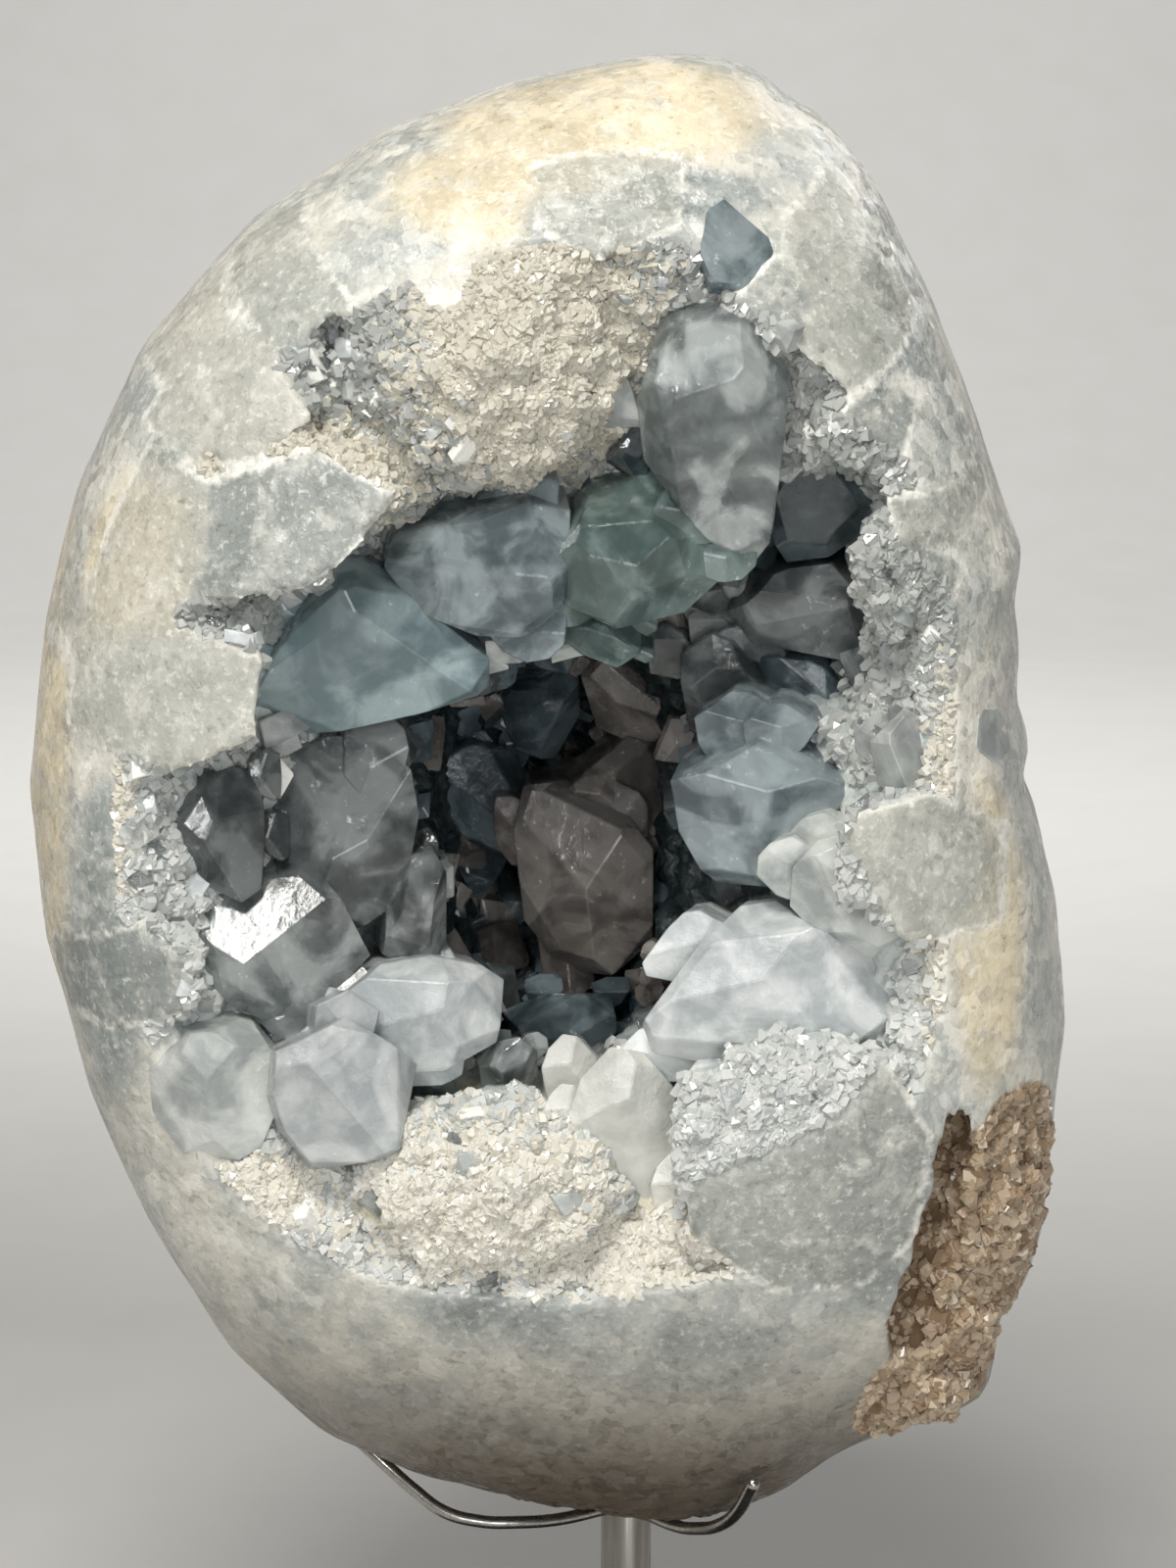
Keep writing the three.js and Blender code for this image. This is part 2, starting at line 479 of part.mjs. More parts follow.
const stoneOutline = smoothOutline(STONE_OUTLINE, 2);
const STONE_FORM = {
  outline: stoneOutline,
  plain: rubbedDown(stoneOutline),
  centre: STONE_CENTRE,
  middle: 0,
  front: STONE_FRONT,
  back: STONE_BACK,
  frontRound: 2.9,
  footRound: 2.25,
  backRound: 2.2,
  ringAngles: [-77, -64, -52, -41, -29, -16, -3, 13, 30, 47, 62, 76],
};
const mouthOutline = smoothOutline(MOUTH_OUTLINE, 1.5);
const MOUTH_FORM = {
  outline: mouthOutline,
  centre: HOLLOW_CENTRE,
  middle: MOUTH_PLANE,
  front: 40,
  frontRound: 9,
  footRound: 9,
};
const CAVITY_FORM = {
  ...MOUTH_FORM,
  back: CAVITY_DEPTH,
  backRound: 2.3,
  ringAngles: [-60, 0, 20, 38, 54, 70],
};

// The open hollow: a flare like a trumpet's inside the mouth, with the hole and the recess in it.
const FLARE_FORM = {
  ...MOUTH_FORM,
  back: HOLLOW_DEPTH,
  backRound: 0.78,
  ringAngles: [-60, 0, 10, 20, 38],
  grow: 1,
};
const HOLE_FORM = {
  ...MOUTH_FORM,
  outline: smoothOutline(HOLE_OUTLINE, 1),
  centre: HOLE_CENTRE,
  back: HOLLOW_DEPTH,
  backRound: 2.2,
  ringAngles: [-60, 0, 25, 50, 70],
};
const RECESS_FORM = {
  ...MOUTH_FORM,
  outline: smoothOutline(RECESS_OUTLINE, 1),
  centre: RECESS_CENTRE,
  back: RECESS_DEPTH,
  backRound: 1.7,
  ringAngles: [-60, 0, 25, 55],
};

function brokenMatrix(stone) {
  const random = seeded(11);
  for (const lump of MATRIX_LUMPS) stone = stone.add(roughLump(lump, random));
  for (const bite of MATRIX_BITES) stone = stone.subtract(roughLump(bite, random));
  return stone;
}

const stoneSolid = brokenMatrix(roundedBody(STONE_FORM));
const grownStone = brokenMatrix(roundedBody({ ...STONE_FORM, grow: GAP }));
const shellSolid = stoneSolid.subtract(roundedBody(CAVITY_FORM));

// ---- The crystals ----

// Small crystals stand on the flare, on the third of it that is nearest to its rim. They lean in
// towards the hollow's middle, more so the further out they stand.
const LEAN_IN = 1 / 110;
function fillerCrystals() {
  const random = seeded(5);
  const made = [];
  for (let i = 0; i < FILLER_COUNT; i++) {
    const corner = mouthOutline[Math.floor(random() * mouthOutline.length)];
    const share = 0.7 + 0.27 * Math.sqrt(random());
    const { centre, back, backRound, middle } = FLARE_FORM;
    const depth = middle + back * (1 - share ** backRound) ** (1 / backRound);
    const x = centre[0] + (corner.x - centre[0]) * share;
    const z = centre[1] + (corner.y - centre[1]) * share;
    const growth = new THREE.Vector3(
      (centre[0] - x) * LEAN_IN + 0.5 * (random() - 0.5),
      -0.9,
      (centre[1] - z) * LEAN_IN + 0.5 * (random() - 0.5),
    ).normalize();
    const width = 6 + 8 * random();
    const length = width * (0.7 + random());
    made.push(smallCrystal(new THREE.Vector3(x, depth, z + LIFT), growth, width, length, random));
  }
  return made;
}

function crustSolid() {
  const random = seeded(3);
  let crust = roundedBody(CAVITY_FORM);
  for (const form of [FLARE_FORM, HOLE_FORM, RECESS_FORM]) crust = crust.subtract(roundedBody(form));
  for (const lump of DRUSE_LUMPS) crust = crust.add(roughLump(lump, random));
  for (const crystal of CRYSTALS) crust = crust.add(largeCrystal(crystal));
  for (const crystal of fillerCrystals()) crust = crust.add(crystal);
  const grownShell = grownStone.subtract(roundedBody({ ...CAVITY_FORM, grow: -GAP }));
  return largestBody(crust.intersect(stoneSolid).subtract(grownShell));
}

// ---- The stand ----

const STEEL_SIDES = 24;
const WIRE_SIDES = 3; // on each half of the wire's round section
const WIRE_STEPS = 10;
const POST_SPARE = 6; // extra height of the rod before its top is cut to the stone

// The foot is a turned disc with a chamfered rim.
function foot() {
  const rim = FOOT_RADIUS - FOOT_CHAMFER;
  const profile = [
    new THREE.Vector2(0, 0),
    new THREE.Vector2(FOOT_RADIUS, 0),
    new THREE.Vector2(FOOT_RADIUS, FOOT_THICKNESS - FOOT_CHAMFER),
    new THREE.Vector2(rim, FOOT_THICKNESS),
    new THREE.Vector2(0, FOOT_THICKNESS),
  ];
  return new THREE.LatheGeometry(profile, 2 * STEEL_SIDES).rotateX(Math.PI / 2);
}

// The post stands on the foot and ends in the shape of the stone that rests on it.
function post() {
  const tall = LIFT + POST_SPARE - FOOT_THICKNESS - GAP;
  const rod = new THREE.CylinderGeometry(POST_RADIUS, POST_RADIUS, tall, STEEL_SIDES);
  rod.rotateX(Math.PI / 2).translate(0, 0, FOOT_THICKNESS + GAP + tall / 2);
  return toGeometry(largestBody(toSolid(rod).subtract(grownStone)));
}

// An arm is round wire bent along its route, with a rounded tip.
function arm(route) {
  const points = route.map(([x, y, z]) => new THREE.Vector3(x, y, z + LIFT));
  const curve = new THREE.CatmullRomCurve3(points, false, "centripetal");
  const section = new THREE.Shape().absarc(0, 0, WIRE_RADIUS, 0, 2 * Math.PI);
  const wire = new THREE.ExtrudeGeometry(section, {
    extrudePath: curve,
    steps: WIRE_STEPS,
    curveSegments: WIRE_SIDES,
    bevelEnabled: false,
  });
  const tip = new THREE.IcosahedronGeometry(WIRE_RADIUS * 1.05, 1).translate(...points.at(-1).toArray());
  const whole = toSolid(wire).add(toSolid(tip));
  return toGeometry(largestBody(whole.subtract(grownStone)));
}

// ---- The assembly ----

const model = new THREE.Group();

function place(name, geometry, colour, roughness, metalness) {
  const material = new THREE.MeshStandardMaterial({ color: colour, roughness, metalness });
  const mesh = new THREE.Mesh(geometry, material);
  mesh.name = name;
  model.add(mesh);
}

place("geode_shell", toGeometry(largestBody(shellSolid)), 0xd2cabb, 0.45, 0);
place("crystal_crust", toGeometry(crustSolid()), 0x9fb2bd, 0.1, 0);
place("base", foot(), 0x55585b, 0.45, 0.9);
place("post", post(), 0xa7a39b, 0.3, 1);
for (const [name, route] of Object.entries(ARMS)) place(name, arm(route), 0xb9b4aa, 0.3, 1);

export default model;
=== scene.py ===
# %% [markdown]
# # A celestite geode in its cradle
# Celestite grows as blue-grey crystals on the walls of hollows in limestone. This one was sawn open
# and its outside ground and polished to a tall egg, so the skin cuts straight through crystals and
# matrix alike, and the hollow at the front is left as it grew. A post with four wire arms holds it.
# The CAD solids come first: they fix every size, and each piece made here takes the place of one.

# %% Load the solids
import math

import bpy
import numpy as np
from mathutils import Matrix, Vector
from mathutils.bvhtree import BVHTree


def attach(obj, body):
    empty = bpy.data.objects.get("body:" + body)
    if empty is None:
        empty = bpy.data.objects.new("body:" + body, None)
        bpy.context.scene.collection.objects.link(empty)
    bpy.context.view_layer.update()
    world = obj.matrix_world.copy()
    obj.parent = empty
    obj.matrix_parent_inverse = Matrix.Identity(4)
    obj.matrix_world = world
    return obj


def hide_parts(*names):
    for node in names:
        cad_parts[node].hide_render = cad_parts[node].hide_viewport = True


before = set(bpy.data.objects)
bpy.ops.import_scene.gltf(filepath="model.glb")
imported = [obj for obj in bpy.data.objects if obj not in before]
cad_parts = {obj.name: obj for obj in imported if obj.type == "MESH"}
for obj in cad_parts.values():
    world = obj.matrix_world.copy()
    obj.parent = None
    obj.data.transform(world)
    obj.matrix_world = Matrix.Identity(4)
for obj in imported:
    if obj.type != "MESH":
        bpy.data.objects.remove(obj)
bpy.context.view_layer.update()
MM = 0.001  # a millimetre, in Blender's metres
LIFT = 80  # the stone's foot is this many millimetres up, and heights on the stone count from it
print("CAD nodes:", sorted(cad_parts))

# %% [markdown]
# ## Camera and light
# A stone is looked at from a little above its middle. One soft lamp high in front models the form,
# because crystals need something bright and broad to mirror. A second, low and weak, keeps the hollow
# from going black, a narrow third makes glints, and two more behind draw the edges and light the wall.

# %% Camera and lamps
AIM = Vector((-0.0076, 0, 0.227))
DISTANCE, TILT = 0.75, math.radians(10)
HALF_VIEW = 0.152  # half the height, in metres, that the camera sees at the stone
SKY_COLOUR, SKY_STRENGTH = (0.75, 0.78, 0.82, 1), 0.18


def aim_at(thing, place, target):
    thing.location = place
    thing.rotation_euler = (Vector(target) - Vector(place)).to_track_quat("-Z", "Y").to_euler()


def lamp(name, place, target, size, power, colour):
    bpy.ops.object.light_add(type="AREA")
    made = bpy.context.object
    made.name = name
    made.data.shape = "RECTANGLE"
    made.data.size, made.data.size_y = size
    made.data.energy = power
    made.data.color = colour
    aim_at(made, place, target)
    return made


bpy.ops.object.camera_add()
camera = bpy.context.object
camera.name = "camera"
aim_at(camera, AIM + DISTANCE * Vector((0, -math.cos(TILT), math.sin(TILT))), AIM)
camera.data.sensor_fit = "VERTICAL"
camera.data.angle = 2 * math.atan(HALF_VIEW / DISTANCE)
bpy.context.scene.camera = camera

lamp("key_lamp", (-0.15, -0.6, 1.1), AIM, (0.35, 0.35), 9.5, (1, 0.975, 0.93))
lamp("fill_lamp", (0.25, -1.1, 0.2), AIM, (0.5, 0.5), 3, (0.95, 0.97, 1))
lamp("glint_lamp", (-0.3, -0.95, 0.6), AIM, (0.08, 0.3), 2, (1, 1, 1))
lamp("rim_lamp", (0.5, 0.55, 0.75), AIM, (0.4, 0.4), 2, (1, 1, 1))
lamp("wall_lamp", (0, 0.9, 1.3), (0, 2.6, 0.6), (1, 1), 30, (1, 1, 1))

world = bpy.data.worlds.new("studio")
bpy.context.scene.world = world
world.use_nodes = True
sky = world.node_tree.nodes["Background"]
sky.inputs["Color"].default_value = SKY_COLOUR
sky.inputs["Strength"].default_value = SKY_STRENGTH
print("camera at", tuple(round(v, 3) for v in camera.location))

# %% [markdown]
# ## Floor and wall
# The stand is on pale paper that runs up a wall behind it. It is a plane whose far edge is extruded
# upwards, and a wide bevel rounds the corner, so that no line shows behind the stone.

# %% Floor and wall
FLOOR_SIZE, WALL_HEIGHT, SWEEP = 6, 4, 1.2  # metres
bpy.ops.mesh.primitive_plane_add(size=FLOOR_SIZE)
floor = bpy.context.object
floor.name = "floor"
bpy.ops.object.mode_set(mode="EDIT")
bpy.ops.mesh.select_all(action="DESELECT")
bpy.ops.object.mode_set(mode="OBJECT")
for edge in floor.data.edges:
    ends = [floor.data.vertices[v].co.y for v in edge.vertices]
    edge.select = min(ends) > 0.48 * FLOOR_SIZE
bpy.ops.object.mode_set(mode="EDIT")
bpy.ops.mesh.select_mode(type="EDGE")
bpy.ops.mesh.extrude_region_move(TRANSFORM_OT_translate={"value": (0, 0, WALL_HEIGHT)})
bpy.ops.object.mode_set(mode="OBJECT")
bevel = floor.modifiers.new("sweep", "BEVEL")
bevel.width = SWEEP
bevel.segments = 16
bpy.ops.object.shade_smooth()
print("the floor has", len(floor.data.polygons), "faces before its bevel")

# %% [markdown]
# Light has to go in and out through several clear crystals before it comes back, so it may bounce
# more often here than on a solid thing. Colours are shown as they are, with no film curve over them.

# %% Bounces of light
scene = bpy.context.scene
scene.view_settings.view_transform = "Standard"
scene.cycles.max_bounces = 10
scene.cycles.transmission_bounces = 8
scene.cycles.diffuse_bounces = 3
scene.cycles.use_denoising = True
print("light bounces", scene.cycles.max_bounces, "times at most")

# %% [markdown]
# ## Small helpers
# Every finish is a tree of shader nodes, so one function adds a node with its settings and its
# links. Colours are written as a web page writes them, and another function turns them to the even
# steps of light that a shader reckons in.

# %% Helpers for materials


def linear(code):
    """A web colour such as #A0B0C0 as the linear numbers that a shader wants."""
    parts = [int(code[i : i + 2], 16) / 255 for i in (1, 3, 5)]
    parts = [p / 12.92 if p <= 0.04045 else ((p + 0.055) / 1.055) ** 2.4 for p in parts]
    return (*parts, 1)


def add(tree, kind, inputs=None, **settings):
    """Adds a node. An input is a value, another node's output, or a node, for its first output."""
    node = tree.nodes.new("ShaderNode" + kind)
    for name, value in settings.items():
        setattr(node, name, value)
    for name, value in (inputs or {}).items():
        named = [socket for socket in node.inputs if socket.name == name and socket.enabled]
        socket = named[0] if named else node.inputs[name]
        if isinstance(value, bpy.types.Node):
            value = next(output for output in value.outputs if output.enabled)
        if isinstance(value, bpy.types.NodeSocket):
            tree.links.new(value, socket)
        else:
            socket.default_value = value
    return node


def new_material(name):
    """An empty material and the Object coordinates that its patterns are laid out in."""
    material = bpy.data.materials.new(name)
    material.use_nodes = True
    tree = material.node_tree
    tree.nodes.clear()
    return material, tree, add(tree, "TexCoord").outputs["Object"]


def shade(tree, inputs, volume=None):
    """Ends a tree with the shader and, for what light goes deep into, with what fills it."""
    shader = add(tree, "BsdfPrincipled", inputs)
    add(tree, "OutputMaterial", {"Surface": shader, **({"Volume": volume} if volume else {})})


print("#808080 in linear light:", [round(part, 3) for part in linear("#808080")])

# %% [markdown]
# Every modifier is applied as soon as it is added, which leaves plain meshes behind. The points of a
# mesh are read and moved as one array, and a number for each can be kept as an attribute, which a
# material reads later.

# %% Helpers for meshes


def only(obj):
    bpy.ops.object.select_all(action="DESELECT")
    obj.select_set(True)
    bpy.context.view_layer.objects.active = obj


def modify(obj, kind, **settings):
    """Adds a modifier and applies it at once."""
    only(obj)
    modifier = obj.modifiers.new(kind.lower(), kind)
    for name, value in settings.items():
        setattr(modifier, name, value)
    bpy.ops.object.modifier_apply(modifier=modifier.name)


def bevel_edges(obj, width):
    """A narrow flat bevel along every edge that turns by more than 25 degrees."""
    modify(obj, "BEVEL", width=width, segments=1, limit_method="ANGLE", angle_limit=math.radians(25))


def combine(obj, other, operation):
    """Joins, cuts or keeps what two closed solids share, and removes the second."""
    modify(obj, "BOOLEAN", object=other, operation=operation, solver="MANIFOLD")
    bpy.data.objects.remove(other)


def join(parts, name):
    bpy.ops.object.select_all(action="DESELECT")
    for part in parts:
        part.select_set(True)
    bpy.context.view_layer.objects.active = parts[0]
    if len(parts) > 1:
        bpy.ops.object.join()
    parts[0].name = name
    parts[0].data.name = name
    return parts[0]


def places_of(obj):
    places = np.empty(3 * len(obj.data.vertices), np.float32)
    obj.data.vertices.foreach_get("co", places)
    return places.reshape(-1, 3).astype(float)


def move_to(obj, places):
    obj.data.vertices.foreach_set("co", np.asarray(places, np.float32).ravel())
    obj.data.update()


def mark(obj, name, values):
    """Keeps a number for every point of a mesh, which its material can read."""
    attribute = obj.data.attributes.get(name) or obj.data.attributes.new(name, "FLOAT", "POINT")
    values = np.broadcast_to(np.asarray(values, np.float32), len(obj.data.vertices))
    attribute.data.foreach_set("value", np.ascontiguousarray(values))


def ramp(low, high, value):
    """A soft step from 0 at low to 1 at high."""
    t = np.clip((value - low) / (high - low), 0, 1)
    return t * t * (3 - 2 * t)


print("a ramp from 0 to 1 at 0.25:", ramp(0, 1, 0.25))

# %% [markdown]
# ## The ground stone
# The egg was turned against a wheel until it was smooth, so its form is a rounded body round one
# outline: the outline shrinks towards a point in front and behind, faster or slower, by a curve
# between an ellipse and a box. The hollow is made of three more such bodies, which are cut out of it:
# a wide flare at the mouth, a deep hole in the middle and a recess on the right. Each outline is a
# list of its corners as the front shows them, across and up from the stone's foot.

# %% Outlines, in millimetres
STONE_CENTRE = (-14, 140)
STONE_OUTLINE = [
    (3, 286), (14, 286), (22, 284), (28, 280), (29, 277.5), (35, 276), (46, 262.5), (56, 243),
    (64, 223), (71, 202), (74, 195.5), (72.5, 186), (74, 177), (73, 168), (76, 159), (74.5, 152),
    (76.5, 148), (78, 143), (82, 128), (84, 104), (82.5, 82), (81, 60), (78, 50), (73, 44),
    (73, 37), (71, 27), (62, 22.5), (51, 20), (43, 16.5), (31.5, 7.6), (18, 1.5), (4, 0),
    (-19, 5), (-42, 11), (-60, 19.5), (-78, 38), (-93, 64), (-104, 92), (-111, 120), (-113.5, 150),
    (-110, 182), (-103, 208), (-91.5, 232), (-70.5, 256), (-47.5, 270.5), (-45.5, 272.5), (-22, 281),
]
HOLLOW_CENTRE = (-8, 138)
MOUTH_OUTLINE = [
    (38, 254), (55, 224), (63, 203), (64, 180), (57, 145), (55, 112), (46, 84), (28, 70), (-8, 62),
    (-40, 64), (-67, 74), (-85, 88), (-94, 118), (-96, 150), (-93, 190), (-85, 216), (-76, 239),
    (-57, 249), (-19, 259), (17, 262),
]
HOLE_CENTRE = (-14, 138)
HOLE_OUTLINE = [
    (5, 180), (13, 168), (13, 144), (11, 120), (4, 103), (-8, 93), (-23, 95), (-36, 106), (-38, 121),
    (-41, 139), (-43, 157), (-40, 170), (-25, 178), (-11, 181),
]
RECESS_CENTRE = (31, 187)
RECESS_OUTLINE = [
    (40, 216), (48, 208), (48, 190), (46, 172), (42, 162), (26, 160), (12, 163), (14, 180), (18, 198),
    (27, 214),
]
print(len(STONE_OUTLINE), "corners round the stone,", len(MOUTH_OUTLINE), "round the hollow's mouth")

# %% [markdown]
# An outline is worked with as its reach: how far it lies from its centre in each of 720 directions.
# As one array it is easily smoothed, and a point at any angle looks its own reach up in it.

# %% The reach of an outline
DIRECTIONS = 720


def reach_all_round(outline, centre):
    """How far the outline lies from its centre, in every direction."""
    corners = np.array(outline, float) - centre
    steps = np.linspace(0, 1, 24, endpoint=False)[:, None]
    sides = zip(corners, np.roll(corners, -1, axis=0))
    points = np.concatenate([a + (b - a) * steps for a, b in sides])
    angle = np.arctan2(points[:, 1], points[:, 0])
    grid = np.linspace(-math.pi, math.pi, DIRECTIONS, endpoint=False)
    return np.interp(grid, angle, np.hypot(points[:, 0], points[:, 1]), period=2 * math.pi)


def rubbed(reach, width):
    """The same outline with its steps rubbed out over a width in degrees."""
    half = int(width * DIRECTIONS / 720)
    return sum(np.roll(reach, k) for k in range(-half, half + 1)) / (2 * half + 1)


def reach_at(reach, angle):
    grid = np.linspace(-math.pi, math.pi, DIRECTIONS, endpoint=False)
    return np.interp(angle, grid, reach, period=2 * math.pi)


stone_reach = reach_all_round(STONE_OUTLINE, STONE_CENTRE)
print("the stone reaches", round(stone_reach.min()), "to", round(stone_reach.max()), "mm out")

# %% [markdown]
# A form names what its body needs. The outline has its steps and chips, the detail, only round its
# widest place, and is plain towards the front and back. Then come the depth of that widest place, how
# far the body runs from there to its front and back, and how round it is on the way: 2 gives an
# ellipse, more a box with soft corners, and less a point.

# %% Forms of the stone and its hollow
STONE = dict(
    detail=rubbed(stone_reach, 2.5), plain=rubbed(stone_reach, 40),
    centre=STONE_CENTRE, middle=0, front=72, back=84,
    front_round=2.9, foot_round=2.25, back_round=2.2,
)
mouth = rubbed(reach_all_round(MOUTH_OUTLINE, HOLLOW_CENTRE), 12)
FLARE = dict(
    detail=mouth, plain=mouth, centre=HOLLOW_CENTRE, middle=-57, front=40, back=92,
    front_round=9, foot_round=9, back_round=0.78,
)
hole = rubbed(reach_all_round(HOLE_OUTLINE, HOLE_CENTRE), 12)
HOLE = dict(FLARE, detail=hole, plain=hole, centre=HOLE_CENTRE, back_round=2.2)
recess = rubbed(reach_all_round(RECESS_OUTLINE, RECESS_CENTRE), 12)
RECESS = dict(FLARE, detail=recess, plain=recess, centre=RECESS_CENTRE, back=56, back_round=1.7)
print("the stone is", STONE["front"] + STONE["back"], "mm deep before its front is cut")

# %% [markdown]
# A sphere has the right mesh for such a body: its poles become the front and the back, and its rings
# shrink towards them. Each of its points is moved to its place on the form. The points that meet at
# a pole are merged, and the faces are turned outwards, because moving the points turned them round.

# %% Rounded bodies


def rounded_body(name, form, segments=256, rings=160, grow=0):
    """A sphere whose points are moved to the form: its poles become the front and the back."""
    bpy.ops.object.select_all(action="DESELECT")
    bpy.ops.mesh.primitive_uv_sphere_add(segments=segments, ring_count=rings, radius=1)
    body = bpy.context.object
    body.name = name
    unit = places_of(body)
    sine = np.clip(unit[:, 2], -1, 1)
    cosine = np.sqrt(1 - sine**2)
    angle = np.arctan2(unit[:, 1], unit[:, 0])
    detail = cosine**5
    reach = detail * reach_at(form["detail"], angle) + (1 - detail) * reach_at(form["plain"], angle)
    below = np.maximum(0, -np.sin(angle)) ** 2
    front_round = form["front_round"] + (form["foot_round"] - form["front_round"]) * below
    roundness = np.where(sine < 0, front_round, form["back_round"])
    out = (reach + grow) * cosine ** (2 / roundness)
    run = np.where(sine < 0, form["front"], form["back"]) + grow
    depth = np.sign(sine) * run * np.abs(sine) ** (2 / roundness)
    x = form["centre"][0] + out * np.cos(angle)
    z = form["centre"][1] + out * np.sin(angle) + LIFT
    move_to(body, np.stack([x, form["middle"] + depth, z], 1) * MM)
    bpy.ops.object.mode_set(mode="EDIT")
    bpy.ops.mesh.select_all(action="SELECT")
    bpy.ops.mesh.remove_doubles(threshold=1e-7)
    bpy.ops.mesh.normals_make_consistent(inside=False)
    bpy.ops.object.mode_set(mode="OBJECT")
    return body


def tree_of(obj):
    """A search tree of a mesh, to ask where a line meets it."""
    return BVHTree.FromObject(obj, bpy.context.evaluated_depsgraph_get())


BACKWARDS = Vector((0, 1, 0))  # the way that someone in front of the stone looks
IN_FRONT = -300  # millimetres, well before it
egg = rounded_body("egg", STONE)
egg_tree = tree_of(egg)
print("egg measures", [round(v / MM, 1) for v in egg.dimensions], "mm")

# %% [markdown]
# ## How a crystal is cut
# A crystal is a solid with flat faces, so each is cut from a block by planes, as if on a saw: one
# plane for each side of its outline, a few for the facets of its point, and one at its root. Its sides
# spread a little with depth, because crystals in a hollow grow towards its middle.

# %% The planes of a crystal
SPREAD = 0.006  # how far the sides lean out, for each millimetre away from the hollow's middle
SHOULDER = 6  # the outline lies this many millimetres behind the tip


def facet_normal(direction, lean):
    turn, tilt = math.radians(direction), math.radians(lean)
    return Vector((math.cos(turn) * math.sin(tilt), -math.cos(tilt), math.sin(turn) * math.sin(tilt)))


def crystal_planes(front, peak, length, outline, facets, spread=SPREAD):
    """The planes round a crystal, each as a point on it, in millimetres, and its outward normal."""
    away = Vector(((peak[0] - HOLLOW_CENTRE[0]) * spread, 1, (peak[1] - HOLLOW_CENTRE[1]) * spread))
    away.normalize()
    tip = Vector((peak[0], front, peak[1] + LIFT))
    corners = [Vector((x, front + SHOULDER, z + LIFT)) for x, z in outline]
    middle = sum(corners, Vector()) / len(corners)
    planes = []
    for corner, following in zip(corners, corners[1:] + corners[:1]):
        normal = (following - corner).cross(away).normalized()
        if normal.dot(middle - corner) > 0:
            normal.negate()
        planes.append((corner, normal))
    for direction, lean, behind in facets:
        normal = facet_normal(direction, lean)
        planes.append((tip - behind * normal, normal))
    planes.append((tip + length * away, away))
    return planes


print("a facet that leans 30 degrees upwards faces", [round(v, 2) for v in facet_normal(90, 30)])

# %% [markdown]
# Bisect is the saw: it cuts a mesh by a plane, drops what lies outside and closes the cut with a
# face. The wheel is the egg's own form: what a crystal and the egg share is what the wheel left.

# %% Cut a crystal from a block
BLOCK_SIZE = 200  # millimetres, more than any crystal needs


def slice_off(planes):
    """Cuts the active block by each plane and closes the cut."""
    bpy.ops.object.mode_set(mode="EDIT")
    for point, normal in planes:
        bpy.ops.mesh.select_all(action="SELECT")
        bpy.ops.mesh.bisect(plane_co=point * MM, plane_no=normal, use_fill=True, clear_outer=True)
    bpy.ops.object.mode_set(mode="OBJECT")


def cut_from_block(name, planes, centre):
    bpy.ops.object.select_all(action="DESELECT")
    bpy.ops.mesh.primitive_cube_add(size=BLOCK_SIZE * MM, location=Vector(centre) * MM)
    block = bpy.context.object
    block.name = name
    bpy.ops.object.transform_apply(location=True)
    slice_off(planes)
    return block


def cut_crystal(name, front, peak, length, outline, facets, spread=SPREAD):
    """A crystal by its measures, and the planes that cut it."""
    planes = crystal_planes(front, peak, length, outline, facets, spread)
    return cut_from_block(name, planes, (peak[0], front + 20, peak[1] + LIFT)), planes


def grind(crystal, grow=0):
    """Takes off what stands out past the egg, as the wheel did."""
    combine(crystal, rounded_body("wheel", STONE, segments=128, rings=80, grow=grow), "INTERSECT")


print("a block measures", BLOCK_SIZE, "mm")

# %% [markdown]
# Some crystals reach out past the skin, and the wheel has ground them flush with it, so they only show
# as clearer patches in the polish. These slabs are joined to the body, and the paint tells them apart.
# The table gives for each its tone from clear, 0, to cream, 1, the depth of its front, the middle of
# its face across and in height, its length, its outline and its facets.

